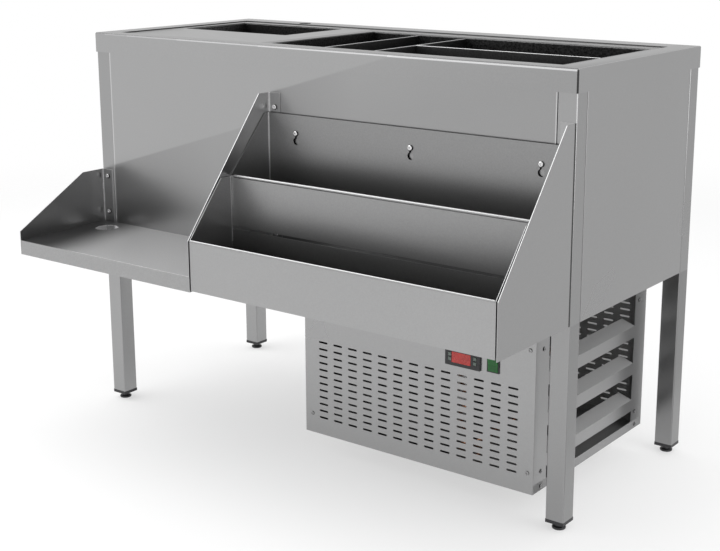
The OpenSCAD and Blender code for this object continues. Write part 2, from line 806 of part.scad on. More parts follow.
// A rolled lip along X with rounded ends
module lip(x0, x1, y, z, r) {
    bar_x([x0, y, z], r, x1 - x0);
    for (x = [x0, x1]) translate([x, y, z]) sphere(r);
}

module upper_rail() placed() color("silver") difference() {
    union() {
        for (x = [rail_x0, rail_x1 - rail_t]) plate_x(x, rail_t, [[upper_y1, upper_low],
            [upper_y0, upper_low], [upper_y0, upper_lip - 1], [-16, upper_top], [upper_y1, upper_top]]);
        block([rail_x0, upper_y1 - rail_t, upper_low], [rail_x1, upper_y1, upper_top]);
        block([rail_x0, upper_y0, upper_low], [rail_x1, upper_y1, upper_low + rail_t]);
        block([rail_x0, upper_y0, upper_low], [rail_x1, upper_y0 + rail_t, upper_lip]);
        lip(rail_x0 + 12, rail_x1 - 12, upper_y0 + rail_t / 2, upper_lip - 1, roll_r);
    }
    for (x = hook_x) {
        bar_y([x, -10, hook_z - key_drop], hook_head_r + 1.5, 20);
        bar_y([x, -10, hook_z], hook_r + fit_gap, 20);
        block([x - hook_r - fit_gap, -10, hook_z - key_drop], [x + hook_r + fit_gap, 10, hook_z]);
    }
}

module lower_rail() placed() color("silver") difference() {
    union() {
        for (x = [lower_x0, lower_x1 - rail_t]) plate_x(x, rail_t, [[lower_y1, lower_low],
            [lower_y0, lower_low], [lower_y0, lower_lip], [lower_y1 - 28, upper_lip - 1],
            [lower_y1, upper_lip - 1]]);
        block([lower_x0, lower_y0, lower_low], [lower_x1, lower_y1, lower_low + rail_t]);
        block([lower_x0, lower_y0, lower_low], [lower_x1, lower_y0 + rail_t, lower_lip]);
        block([lower_x0, lower_y1 - rail_t, lower_low], [lower_x1, lower_y1, upper_low - 5]);
        lip(lower_x0 + 3, lower_x1 - 3, lower_y0 + rail_t / 2, lower_lip, lip_r);
    }
    for (p = rail_bolt, x = [lower_x0, lower_x1 - rail_t])
        bar_x([x - 1, p[0], p[1]], pin_bolt_r + 0.1, rail_t + 2);
}

// Headed bolts with a collar behind the rail and a nut inside the body
module hanging_bolts() placed() color("gray") for (x = hook_x) {
    head_y = upper_y1 - rail_t - fit_gap;
    bolt_y(x, head_y, hook_z, hook_r, hook_head_r, 3.5, in_y + 5 - head_y);
    bar_y([x, upper_y1 + fit_gap, hook_z], hook_head_r + 1, face_y - upper_y1 - fit_gap);
    bar_y([x, in_y, hook_z], hook_head_r + 1, 4.5);
}

// Bolts through the lower rail's ends, with collars against the brackets
module rail_bolts() placed() color("gray") for (p = rail_bolt) {
    bar_x([lower_x0 + rail_t, p[0], p[1]], bolt_head_r, bolt_head_h);
    bar_x([brk_l, p[0], p[1]], pin_bolt_r, lower_x0 + rail_t - brk_l + 1);
    bar_x([brk_l + sheet_t, p[0], p[1]], bolt_head_r, lower_x0 - brk_l - sheet_t);
    bar_x([lower_x1 - rail_t - bolt_head_h, p[0], p[1]], bolt_head_r, bolt_head_h);
    bar_x([lower_x1 - rail_t - 1, p[0], p[1]], pin_bolt_r, brk_r - sheet_t - lower_x1 + rail_t + 1);
    bar_x([lower_x1, p[0], p[1]], bolt_head_r, brk_r - sheet_t - lower_x1);
}

module unit_tray() placed() color("gray") difference() {
    block([ux0, side_y0, unit_low], [ux1, side_y1, tray_top]);
    block([ux0 + tray_t, side_y0 + tray_t, tray_floor], [ux1 - tray_t, side_y1 - tray_t, tray_top + 1]);
    for (s = side_screw) if (s[1] < tray_h)
        bar_x([ux0 - 1, s[0], unit_low + s[1]], screw_r + 0.1, unit_w + 2);
}

// The slots of a grille, from its lowest left slot
module slots(rows, y) {
    for (i = [0 : slot_cols - 1], j = [0 : rows - 1]) {
        x = slot_x + i * slot_pitch_x;
        z = slot_z + j * slot_pitch_z;
        block([x, y - 1, z], [x + slot_w, y + unit_t + 1, z + slot_h]);
    }
}

module unit_front_grille() placed() color("silver") difference() {
    block([ux0, 0, unit_low], [ux1, unit_t, unit_top]);
    slots(slot_rows, 0);
    for (s = front_screw) bar_y([s[0], -1, unit_low + s[1]], screw_r + 0.1, 5);
    block([cx - ctrl_body_w / 2, -1, cz - ctrl_body_h / 2], [cx + ctrl_body_w / 2, 5, cz + ctrl_body_h / 2]);
    block([sx - sw_open_w / 2 - sw_wall, -1, sz - sw_open_h / 2 - sw_wall],
        [sx + sw_open_w / 2 + sw_wall, 5, sz + sw_open_h / 2 + sw_wall]);
}

module unit_back_grille() placed() color("silver") difference() {
    block([ux0, side_y1, unit_low], [ux1, unit_d, unit_top]);
    slots(back_rows, side_y1);
    block([inlet_x - inlet_w / 2, side_y1 - 1, inlet_z - inlet_h / 2],
        [inlet_x + inlet_w / 2, unit_d + 1, inlet_z + inlet_h / 2]);
}

// A side wall with returns at its front, back and top; s is 1 for the right wall
module side_wall(x, s) {
    x_in = s > 0 ? x + unit_t - lip_w : x;
    plate_x(x, unit_t, [[side_y0, tray_top], [side_y1, tray_top], [side_y1, rail_z],
        [hem_y, rail_z], [hem_y, unit_top], [side_y0, unit_top]]);
    for (y = [side_y0, side_y1 - unit_t])
        block([x_in, y, tray_top], [x_in + lip_w, y + unit_t, unit_top]);
    block([x_in, hem_y, rail_z - unit_t], [x_in + lip_w, side_y1, rail_z]);
}

module side_holes(x, s) {
    for (p = side_screw) if (p[1] > tray_h)
        bar_x([x - 1, p[0], unit_low + p[1]], screw_r + 0.1, 4);
    for (p = front_screw) if ((p[0] - (ux0 + ux1) / 2) * s > 0)
        bar_y([p[0], -1, unit_low + p[1]], screw_r + 0.1, 6);
}

// One slat: an outer face and a return that leans inwards and up
module slat(z) {
    strip_y(post_w - 1, unit_d - 2 * post_w + 2, [[ux1, z], [ux1, z + slat_h],
        [ux1 - slat_in, z + slat_h + slat_rise], [ux1 - slat_in, z + slat_h + slat_rise - unit_t],
        [ux1 - unit_t, z + slat_h - unit_t], [ux1 - unit_t, z]]);
}

module unit_right_louvre() placed() color("silver") {
    difference() {
        side_wall(ux1 - unit_t, 1);
        block([ux1 - 5, post_w, tray_top - 1], [ux1 + 1, unit_d - post_w, win_top]);
        side_holes(ux1 - unit_t, 1);
    }
    for (i = [0 : slat_n - 1]) slat(slat_z + i * slat_pitch);
}

module unit_left_side() placed() color("silver") difference() {
    side_wall(ux0, -1);
    side_holes(ux0, -1);
}

module unit_screws() placed() color("gray") {
    for (p = front_screw) bolt_y(p[0], 0, unit_low + p[1], screw_r, screw_head, 1.5, 6);
    for (p = side_screw) {
        z = unit_low + p[1];
        bar_x([ux1, p[0], z], screw_head, 1.5);
        bar_x([ux1 - 5, p[0], z], screw_r, 6);
        bar_x([ux0 - 1.5, p[0], z], screw_head, 1.5);
        bar_x([ux0 - 1, p[0], z], screw_r, 6);
    }
}

// The compressor's shell turned about its axis, on a foot plate
module compressor() placed() color("#202020") translate([comp_x, comp_y, 0]) {
    difference() {
        translate([-comp_r - comp_foot, -comp_r, comp_z - plate_t])
            cube([2 * (comp_r + comp_foot), 2 * comp_r, plate_t]);
        for (x = [-1, 1], y = [-1, 1])
            bar_z([x * mount_x, y * mount_y, comp_z - plate_t - 1], mount_neck + 0.1, plate_t + 2);
    }
    translate([0, 0, comp_z]) rotate_extrude() {
        square([comp_r - comp_round, comp_h]);
        translate([0, comp_round]) square([comp_r, comp_h - 2 * comp_round]);
        for (z = [comp_round, comp_h - comp_round]) translate([comp_r - comp_round, z]) circle(comp_round);
    }
    translate([comp_r - 8, -term_w / 2, comp_z + term_h]) cube([term_d, term_w, term_h]);
}

module compressor_mounts() placed() color("#151515")
    for (x = [-1, 1], y = [-1, 1]) translate([comp_x + x * mount_x, comp_y + y * mount_y, 0]) {
        bar_z([0, 0, tray_floor], mount_r, mount_h);
        bar_z([0, 0, tray_floor], mount_neck, mount_h + plate_t + 1);
        bar_z([0, 0, comp_z], mount_cap_r, mount_cap_h);
    }

module condenser() placed() color("darkgray") {
    block([cond_x0 + fin_in, cond_y0, tray_floor + 8], [cond_x1 - fin_in, cond_y1, tray_floor + cond_h - 4]);
    for (x = [cond_x0 + fin_in - 1.5, cond_x1 - fin_in])
        block([x, cond_y0 - 2, tray_floor], [x + 1.5, cond_y1, tray_floor + cond_h]);
    for (i = [0 : bend_n - 1]) for (x = [cond_x0 + fin_in - 1, cond_x1 - fin_in + 1])
        translate([x, (cond_y0 + cond_y1) / 2, tray_floor + 35 + i * 38])
            rotate([0, 90, 90]) rotate(x > fan_x ? 0 : 180) rotate([0, 0, 0])
                rotate_extrude(angle = 180) translate([9, 0]) circle(pipe_r);
}

// A plate with a round opening for the fan and a bent bracket that carries the motor
module fan_shroud() placed() color("darkgray") {
    difference() {
        block([cond_x0 + fin_in, cond_y1, tray_floor], [cond_x1 - fin_in, shroud_y1, tray_floor + cond_h]);
        block([cond_x0 + fin_in + 1.5, cond_y1 - 1, tray_floor + 1.5],
            [cond_x1 - fin_in - 1.5, shroud_y1 - 1.5, tray_floor + cond_h - 1.5]);
        bar_y([fan_x, cond_y1, fan_z], fan_r + 4, 60);
    }
    difference() {
        union() {
            block([fan_x - 25, motor_y1, tray_floor], [fan_x + 25, motor_y1 + 2, fan_z + 25]);
            block([fan_x - 25, shroud_y1 - 1.5, tray_floor], [fan_x + 25, motor_y1 + 2, tray_floor + 2]);
        }
        for (s = [-1, 1]) bar_y([fan_x + s * 18, motor_y1 - 1, fan_z], 2.6, 5);
    }
}

module fan_motor() placed() color("#303030") difference() {
    union() {
        bar_y([fan_x, motor_y0, fan_z], motor_r, motor_l);
        bar_y([fan_x, motor_y0 - 5, fan_z], 9, 6);
        for (s = [-1, 1]) bar_y([fan_x + s * 18, motor_y1 - 1, fan_z], 2.5, 5);
    }
    bar_y([fan_x, motor_y0 - 6, fan_z], shaft_r + fit_gap, motor_l - 5);
}

// Five pitched blades on a hub, with the shaft that runs in the motor
module fan_blade() placed() color("#404040") translate([fan_x, shroud_y1 - 9, fan_z]) {
    rotate([-90, 0, 0]) cylinder(r = 16, h = 12);
    rotate([-90, 0, 0]) cylinder(r = shaft_r, h = motor_y0 - shroud_y1 + 9 + motor_l - 15);
    for (n = [0 : 4]) rotate([0, n * 72, 0])
        translate([0, 6, 12]) rotate([0, 0, 24]) translate([-blade_w / 2, -blade_t / 2, 0])
            cube([blade_w, blade_t, fan_r - 14]);
}

module filter_drier() placed() color("peru") translate([drier_x, drier_y, drier_z]) {
    rotate([90, 0, 0]) translate([0, 0, -drier_l / 2]) cylinder(r = drier_r, h = drier_l);
    for (s = [-1, 1]) rotate([s * 90, 0, 0]) {
        translate([0, 0, drier_l / 2 - 1]) cylinder(r1 = drier_r, r2 = pipe_r, h = drier_cone);
        translate([0, 0, drier_l / 2 + drier_cone - 2]) cylinder(r = pipe_r, h = drier_stub);
    }
}

// Copper pipes: liquid to the well, suction back, hot gas to the condenser, liquid to the drier
module refrigerant_pipes() placed() color("chocolate") {
    tail_y1 = coil_y0 + (coil_runs - 1) * coil_pitch;
    tail_x0 = coil_start - coil_bend;
    tail_x1 = coil_x1 + coil_bend;
    stub = drier_l / 2 + drier_cone - 2 + drier_stub;
    side_x = cond_x1 + 10;
    cond_y = cond_y1 - 8;
    cond_top = tray_floor + cond_h - 20;
    comp_top = comp_z + comp_h;
    pipe([[drier_x, drier_y + stub, drier_z], [drier_x, drier_y + stub + 25, drier_z],
        [drier_x + 40, drier_y + stub + 25, drier_z + 30], [drier_x + 40, tail_y1, drier_z + 120],
        [tail_x1, tail_y1, tail_low - 40], [tail_x1, tail_y1, tail_low]], pipe_r);
    pipe([[tail_x0, coil_y0, tail_low], [tail_x0, coil_y0, tail_low - tail_run],
        [tail_x0, comp_y, comp_top + 30], [comp_x - 30, comp_y, comp_top + 30],
        [comp_x - 30, comp_y, comp_top]], pipe_r);
    pipe([[comp_x + 30, comp_y, comp_top], [comp_x + 30, comp_y, comp_top + 20],
        [side_x, comp_y, comp_top + 20], [side_x, cond_y1 + 20, cond_top],
        [side_x, cond_y, cond_top], [cond_x1 - fin_in + 1.5, cond_y, cond_top]], pipe_r);
    pipe([[cond_x1 - fin_in + 1.5, cond_y, drier_z], [side_x, cond_y, drier_z],
        [side_x, drier_y - stub - 20, drier_z], [drier_x, drier_y - stub - 20, drier_z],
        [drier_x, drier_y - stub, drier_z]], pipe_r);
}

module junction_box() placed() color("dimgray")
    block([ux0 + unit_t, box_y0, box_z0], [ux0 + box_d, box_y0 + box_l, box_z0 + box_h]);

// A socket for a plug-in lead, with its three pins
module power_inlet() placed() color("#181818") {
    difference() {
        union() {
            block([inlet_x - inlet_w / 2, side_y1 - inlet_d, inlet_z - inlet_h / 2],
                [inlet_x + inlet_w / 2, unit_d + 1, inlet_z + inlet_h / 2]);
            block([inlet_x - inlet_w / 2 - inlet_ear, unit_d, inlet_z - inlet_h / 2 - inlet_rim],
                [inlet_x + inlet_w / 2 + inlet_ear, unit_d + inlet_face, inlet_z + inlet_h / 2 + inlet_rim]);
        }
        block([inlet_x - inlet_w / 2 + inlet_wall, unit_d - pin_l - inlet_wall,
            inlet_z - inlet_h / 2 + inlet_wall],
            [inlet_x + inlet_w / 2 - inlet_wall, unit_d + 5, inlet_z + inlet_h / 2 - inlet_wall]);
    }
    for (p = [[-inlet_w / 4, -pin_h / 2], [0, pin_h / 2], [inlet_w / 4, -pin_h / 2]])
        block([inlet_x + p[0] - pin_w / 2, unit_d - pin_l - inlet_wall - 1, inlet_z + p[1] - pin_h / 2],
            [inlet_x + p[0] + pin_w / 2, unit_d - inlet_wall - 1, inlet_z + p[1] + pin_h / 2]);
}

module controller_body() placed() color("#181818") difference() {
    union() {
        block([cx - ctrl_w / 2, -bezel_d, cz - ctrl_h / 2], [cx + ctrl_w / 2, 0, cz + ctrl_h / 2]);
        block([cx - ctrl_body_w / 2, -1, cz - ctrl_body_h / 2],
            [cx + ctrl_body_w / 2, ctrl_body_d, cz + ctrl_body_h / 2]);
    }
    block([lens_x - lens_w / 2, -bezel_d - 1, lens_z - lens_h / 2],
        [lens_x + lens_w / 2, 2 - bezel_d, lens_z + lens_h / 2]);
    for (x = [-1, 1], z = [-1, 1])
        translate([cx + x * key_dx - key_w / 2 - loose, -bezel_d - 1, cz + z * key_dz - key_w / 2 - loose])
            cube([key_w + 2 * loose, bezel_d, key_w + 2 * loose]);
}

module controller_display() placed() color("firebrick")
    block([lens_x - lens_w / 2, -bezel_d - 0.2, lens_z - lens_h / 2],
        [lens_x + lens_w / 2, 2 - bezel_d, lens_z + lens_h / 2]);

// A key that stands a little proud of the bezel, with room behind it to travel
module key(x, z) placed() color("gray")
    translate([cx + x * key_dx - key_w / 2, -bezel_d - 1, cz + z * key_dz - key_w / 2])
        cube([key_w, bezel_d - key_travel - 0.2, key_w]);

module key_top_left() key(-1, 1);
module key_bottom_left() key(-1, -1);
module key_top_right() key(1, 1);
module key_bottom_right() key(1, -1);

module switch_frame() placed() color("#101010") difference() {
    union() {
        block([sx - switch_w / 2, -2, sz - switch_h / 2], [sx + switch_w / 2, 0, sz + switch_h / 2]);
        block([sx - sw_open_w / 2 - sw_wall, -1, sz - sw_open_h / 2 - sw_wall],
            [sx + sw_open_w / 2 + sw_wall, sw_depth, sz + sw_open_h / 2 + sw_wall]);
    }
    block([sx - sw_open_w / 2, -3, sz - sw_open_h / 2], [sx + sw_open_w / 2, sw_pocket, sz + sw_open_h / 2]);
    bar_x([sx - sw_open_w / 2 - sw_wall - 1, 0, sz], rocker_pin_r + fit_gap, switch_w + 5);
}

// The rocker leans to one side at rest, on pins in the frame's cheeks
module switch_rocker() placed() color("green") translate([sx, 0, sz]) {
    half_w = sw_open_w / 2 - loose;
    half_h = sw_open_h / 2 - 1;
    rotate([rocker_swing, 0, 0])
        plate_x(-half_w, 2 * half_w, [[-5, -half_h], [-2.4, 0], [-5, half_h],
            [4, half_h - 1.5], [4, 1.5 - half_h]]);
    bar_x([-half_w - loose - sw_wall + 0.2, 0, 0], rocker_pin_r, sw_open_w + 2 * sw_wall - 0.4);
}

legs();
leg_plugs();
foot_front_left();
foot_front_right();
foot_back_left();
foot_back_right();
worktop();
front_panel();
back_panel();
left_panel();
right_panel();
hanger_rails();
sink_bowl();
sink_drain();
sink_drain_nut();
sink_strainer();
well_liner();
well_insulation();
well_casing();
evaporator();
well_drain();
divider_guides();
well_false_bottom();
divider_left();
divider_middle();
divider_cross();
blender_shelf();
shelf_side_panel();
shelf_bolts();
rail_bracket_left();
rail_bracket_right();
bracket_bolts();
upper_rail();
lower_rail();
hanging_bolts();
rail_bolts();
unit_tray();
unit_front_grille();
unit_right_louvre();
unit_left_side();
unit_back_grille();
unit_screws();
compressor();
compressor_mounts();
condenser();
fan_shroud();
fan_motor();
fan_blade();
filter_drier();
refrigerant_pipes();
junction_box();
power_inlet();
controller_body();
controller_display();
key_top_left();
key_bottom_left();
key_top_right();
key_bottom_right();
switch_frame();
switch_rocker();
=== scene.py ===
import json
import math

import bmesh
import bpy
import numpy as np
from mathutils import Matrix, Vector
from mathutils.geometry import delaunay_2d_cdt


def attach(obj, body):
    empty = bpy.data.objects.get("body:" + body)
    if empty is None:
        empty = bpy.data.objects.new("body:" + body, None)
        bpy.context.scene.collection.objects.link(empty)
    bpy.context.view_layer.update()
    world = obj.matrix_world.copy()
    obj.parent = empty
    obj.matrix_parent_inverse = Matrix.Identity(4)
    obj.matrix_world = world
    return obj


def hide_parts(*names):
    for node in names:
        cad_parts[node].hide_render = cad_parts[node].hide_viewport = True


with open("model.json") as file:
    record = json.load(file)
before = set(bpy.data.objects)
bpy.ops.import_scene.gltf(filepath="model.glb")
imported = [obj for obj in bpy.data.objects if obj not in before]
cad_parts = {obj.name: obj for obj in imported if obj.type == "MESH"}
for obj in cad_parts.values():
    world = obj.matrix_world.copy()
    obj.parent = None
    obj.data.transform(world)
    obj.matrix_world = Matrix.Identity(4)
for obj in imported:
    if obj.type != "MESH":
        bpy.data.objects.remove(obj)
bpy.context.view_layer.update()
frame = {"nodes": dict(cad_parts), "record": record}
cadNodes = frame["nodes"]
bodyOf = {n: b for b, ns in frame["record"]["behaviour"]["bodies"].items() for n in ns}
slotOf = {s["node"]: s["material_slot"] for s in frame["record"]["subparts"]}
scene = bpy.context.scene
mm = 0.001
print("frame loaded:", len(cadNodes), "nodes")


# the camera stands in front of the right-hand corner, a little above the worktop
cameraView = {"place": (1.67261, -2.12090, 1.09990), "tilt": 76.65, "turn": 36.635,
              "lens": 66.56, "shiftX": -0.0332, "shiftY": -0.0611}

cameraData = bpy.data.cameras.new("camera")
cameraData.lens = cameraView["lens"]
cameraData.sensor_width = 36
cameraData.shift_x = cameraView["shiftX"]
cameraData.shift_y = cameraView["shiftY"]
cameraObject = bpy.data.objects.new("camera", cameraData)
cameraObject.location = cameraView["place"]
cameraObject.rotation_euler = (math.radians(cameraView["tilt"]), 0, math.radians(cameraView["turn"]))
scene.collection.objects.link(cameraObject)
scene.camera = cameraObject
scene.view_settings.view_transform = "Standard"


# short ways to build a node tree
def newMaterial(name):
    material = bpy.data.materials.new(name)
    material.use_nodes = True
    material.node_tree.nodes.clear()
    return material, material.node_tree


def addNode(tree, kind, **settings):
    made = tree.nodes.new(kind)
    for key, value in settings.items():
        setattr(made, key, value)
    return made


def noiseAt(tree, coords, scale, detail, rough, stretch=(1, 1, 1)):
    # 3-D noise in object coordinates, stretched along the axes
    mapping = addNode(tree, "ShaderNodeMapping")
    mapping.inputs["Scale"].default_value = stretch
    tree.links.new(coords, mapping.inputs["Vector"])
    noise = addNode(tree, "ShaderNodeTexNoise")
    noise.inputs["Scale"].default_value = scale
    noise.inputs["Detail"].default_value = detail
    noise.inputs["Roughness"].default_value = rough
    tree.links.new(mapping.outputs["Vector"], noise.inputs["Vector"])
    return noise.outputs["Fac"]


def remap(tree, value, fromLow, fromHigh, toLow, toHigh, smooth=False):
    node = addNode(tree, "ShaderNodeMapRange")
    if smooth:
        node.interpolation_type = "SMOOTHSTEP"
    for key, number in zip(("From Min", "From Max", "To Min", "To Max"),
                           (fromLow, fromHigh, toLow, toHigh)):
        node.inputs[key].default_value = number
    tree.links.new(value, node.inputs["Value"])
    return node.outputs["Result"]


def mathOf(tree, operation, *values):
    node = addNode(tree, "ShaderNodeMath", operation=operation)
    for socket, value in zip(node.inputs, values):
        if isinstance(value, (int, float)):
            socket.default_value = value
        else:
            tree.links.new(value, socket)
    return node.outputs[0]


def productOf(tree, value, *gains):
    for gain in gains:
        value = mathOf(tree, "MULTIPLY", value, gain)
    return value


def greyOf(tree, value, tint):
    node = addNode(tree, "ShaderNodeCombineColor")
    for i, part in enumerate(tint):
        tree.links.new(productOf(tree, value, part), node.inputs[i])
    return node.outputs[0]


def finishMaterial(tree, shader):
    out = addNode(tree, "ShaderNodeOutputMaterial")
    tree.links.new(shader.outputs[0], out.inputs["Surface"])


# satin stainless: brushed grain along one axis, faint clouds and a fine speckle. The tone is then
# changed by place. shade (z where dark, z where clear, share of the tone kept at each) is painted
# shade inside a vessel, darker towards its floor, with coarser spots, and within (x from, x to,
# y from, y to) keeps that to the inside of a folded channel. A mark (x from, x to, y from, y to,
# z from, z to, gain) is a dark joint, painted shade in a gap, a step or a hole or on a flat that
# lies darker, or a painted highlight along a fold. fade (lean, from, to, share kept, above z) is
# painted shade on one end of a flat, measured along x less lean times y
steelLook = {"tone": 0.384, "rough": 0.276, "wear": 0.006, "tint": (1, 1, 1.005), "brush": 0.003,
             "brushScale": 1500, "cloud": 0.02, "cloudScale": 3.5, "dotScale": 420, "spotScale": 300}


def insideOf(tree, parts, bounds):
    # 1 inside a box of x, y and perhaps z, 0 outside it
    found = 1.0
    for axis, low, high in zip("XYZ", bounds[0::2], bounds[1::2]):
        near = mathOf(tree, "COMPARE", parts.outputs[axis], (low + high) / 2, (high - low) / 2)
        found = productOf(tree, near, found)
    return found


def castShade(tree, parts, lines):
    # the soft shade that the side panel and the bracket throw up the front: darker below a sloping
    # line, one line to the left of the bracket and one to its right, and a little more further down
    along = parts.outputs["X"]
    right = mathOf(tree, "GREATER_THAN", along, lines["split"])
    heights = [mathOf(tree, "MULTIPLY_ADD", mathOf(tree, "SUBTRACT", along, x), slope, z)
               for x, z, slope in lines["slopes"]]
    depths = [remap(tree, along, x0, x1, deep, faint) for x0, x1, deep, faint in lines["depths"]]
    height, depth = [mathOf(tree, "MULTIPLY_ADD", mathOf(tree, "SUBTRACT", pair[1], pair[0]), right, pair[0])
                     for pair in (heights, depths)]
    above = mathOf(tree, "SUBTRACT", parts.outputs["Z"], height)
    sharp = productOf(tree, remap(tree, above, -lines["blur"], lines["blur"], 1, 0, True), depth)
    below = mathOf(tree, "ADD", sharp, remap(tree, above, -lines["reach"], 0, lines["deepening"], 0))
    front = mathOf(tree, "LESS_THAN", parts.outputs["Y"], lines["front"])
    return mathOf(tree, "SUBTRACT", 1.0, productOf(tree, below, front))


def steelMaterial(name, grain, tone=None, rough=None, shade=None, within=None, jointsAndPaintedLight=(), lines=None,
                  fade=None, speckle=0.03, spotted=0.9, metal=1.0):
    material, tree = newMaterial(name)
    coords = addNode(tree, "ShaderNodeTexCoord").outputs["Object"]
    look = steelLook
    brushed = noiseAt(tree, coords, look["brushScale"], 3, 0.6, grain)
    clouds = noiseAt(tree, coords, look["cloudScale"], 3, 0.5)
    dots = noiseAt(tree, coords, look["dotScale"], 2, 0.7)
    value = productOf(tree, remap(tree, clouds, 0.1, 0.9, 1 - look["cloud"], 1 + look["cloud"]),
                      tone or look["tone"],
                      remap(tree, brushed, 0.3, 0.7, 1 - look["brush"], 1 + look["brush"]),
                      remap(tree, dots, 0.3, 0.7, 1 - speckle, 1 + speckle))
    parts = addNode(tree, "ShaderNodeSeparateXYZ")
    tree.links.new(coords, parts.inputs[0])
    # painted shade inside a vessel or a channel, darker towards its floor, with coarser spots
    if shade:
        dark = remap(tree, parts.outputs["Z"], shade[0], shade[1], 1 - shade[2], 1 - shade[3], True)
        if within:
            dark = productOf(tree, dark, insideOf(tree, parts, within))
        spots = remap(tree, noiseAt(tree, coords, look["spotScale"], 1, 0.5), 0.25, 0.75, -spotted, spotted)
        value = productOf(tree, value, mathOf(tree, "SUBTRACT", 1.0, dark),
                          mathOf(tree, "ADD", productOf(tree, spots, dark, dark), 1.0))
    # dark joints, painted shade and painted highlights, each a box with its gain
    for mark in jointsAndPaintedLight:
        gain = mathOf(tree, "MULTIPLY_ADD", insideOf(tree, parts, mark[:6]), mark[6], 1.0)
        value = productOf(tree, value, gain)
    if lines:
        value = productOf(tree, value, castShade(tree, parts, lines))
    # painted shade over one end of a flat
    if fade:
        lean, start, end, kept, aboveZ = fade
        place = mathOf(tree, "SUBTRACT", parts.outputs["X"], productOf(tree, parts.outputs["Y"], lean))
        lost = productOf(tree, remap(tree, place, start, end, 1 - kept, 0, True),
                         mathOf(tree, "GREATER_THAN", parts.outputs["Z"], aboveZ))
        value = productOf(tree, value, mathOf(tree, "SUBTRACT", 1.0, lost))
    shader = addNode(tree, "ShaderNodeBsdfPrincipled")
    shader.inputs["Metallic"].default_value = metal
    tree.links.new(greyOf(tree, value, look["tint"]), shader.inputs["Base Color"])
    wear = remap(tree, clouds, 0.1, 0.9, -look["wear"], look["wear"])
    tree.links.new(mathOf(tree, "ADD", wear, rough or look["rough"]), shader.inputs["Roughness"])
    finishMaterial(tree, shader)
    return material


plainLook = {"broadScale": 18, "roughVary": 0.06, "bumpStrength": 0.5}


def plainMaterial(name, colour, rough, metal=0.0, grainScale=350, vary=0.12, bumpDepth=0.00005, coat=0.0):
    # a moulded or painted surface: fine grain in colour, roughness and height
    material, tree = newMaterial(name)
    coords = addNode(tree, "ShaderNodeTexCoord").outputs["Object"]
    grain = noiseAt(tree, coords, grainScale, 3, 0.6)
    broad = noiseAt(tree, coords, plainLook["broadScale"], 3, 0.5)
    shader = addNode(tree, "ShaderNodeBsdfPrincipled")
    shader.inputs["Metallic"].default_value = metal
    shader.inputs["Coat Weight"].default_value = coat
    value = productOf(tree, remap(tree, grain, 0.3, 0.7, 1 - vary, 1 + vary),
                      remap(tree, broad, 0.3, 0.7, 1 - vary, 1 + vary))
    tree.links.new(greyOf(tree, value, colour), shader.inputs["Base Color"])
    spread = plainLook["roughVary"]
    tree.links.new(remap(tree, grain, 0.3, 0.7, rough - spread, rough + spread), shader.inputs["Roughness"])
    bump = addNode(tree, "ShaderNodeBump")
    bump.inputs["Strength"].default_value = plainLook["bumpStrength"]
    bump.inputs["Distance"].default_value = bumpDepth
    tree.links.new(grain, bump.inputs["Height"])
    tree.links.new(bump.outputs["Normal"], shader.inputs["Normal"])
    finishMaterial(tree, shader)
    return material


alongX, alongY, alongZ = (0.02, 1, 1), (1, 0.02, 1), (1, 1, 0.02)
looks = {
    "stainless": steelMaterial("stainless", alongX),
    "galvanised": plainMaterial("galvanised", (0.42, 0.43, 0.44), 0.5, 0.8, 120, 0.1),
    # bright bolt steel; its mark paints shade on the bolts seen in the gap behind the rails
    "fastener": steelMaterial("fastener", alongX, 0.7, 0.176,
                              jointsAndPaintedLight=[(-0.1, 0.6, -0.14, -0.12, 0.447, 0.49, -0.7)]),
    "black_plastic": plainMaterial("blackPlastic", (0.018, 0.018, 0.02), 0.42),
    "black_paint": plainMaterial("blackPaint", (0.02, 0.02, 0.022), 0.3, 0, 200, 0.15, 0.00003, 0.3),
    "foam": plainMaterial("foam", (0.75, 0.66, 0.42), 0.9, 0, 500, 0.15, 0.0004),
    "copper": plainMaterial("copper", (0.45, 0.22, 0.13), 0.3, 1.0, 200, 0.1),
    "rubber": plainMaterial("rubber", (0.02, 0.02, 0.02), 0.75),
    "fins": plainMaterial("fins", (0.5, 0.5, 0.5), 0.4, 1.0, 300, 0.1),
    "fan_alloy": plainMaterial("fanAlloy", (0.55, 0.55, 0.55), 0.35, 1.0, 200, 0.08),
    "red_lens": plainMaterial("redLens", (0.5, 0.028, 0.022), 0.3, 0, 90, 0.12, 0.00001, 0.2),
    "key_grey": plainMaterial("keyGrey", (0.14, 0.17, 0.15), 0.6),
    "green_lens": plainMaterial("greenLens", (0.003, 0.1, 0.012), 0.45, 0, 120, 0.2, 0.00001),
}
# slopes (x, z, rise) and depths (x from, x to, dark at each) come in pairs, left and right of split
frontShade = {"slopes": [(-0.599, 0.5455, 0.31), (-0.121, 0.748, 0.30)], "split": -0.0955,
              "depths": [(-0.58, -0.25, 0.26, 0.1), (-0.09, 0.12, 0.22, 0.08)], "blur": 0.0025,
              "deepening": 0.06, "reach": 0.12, "front": -0.1283}
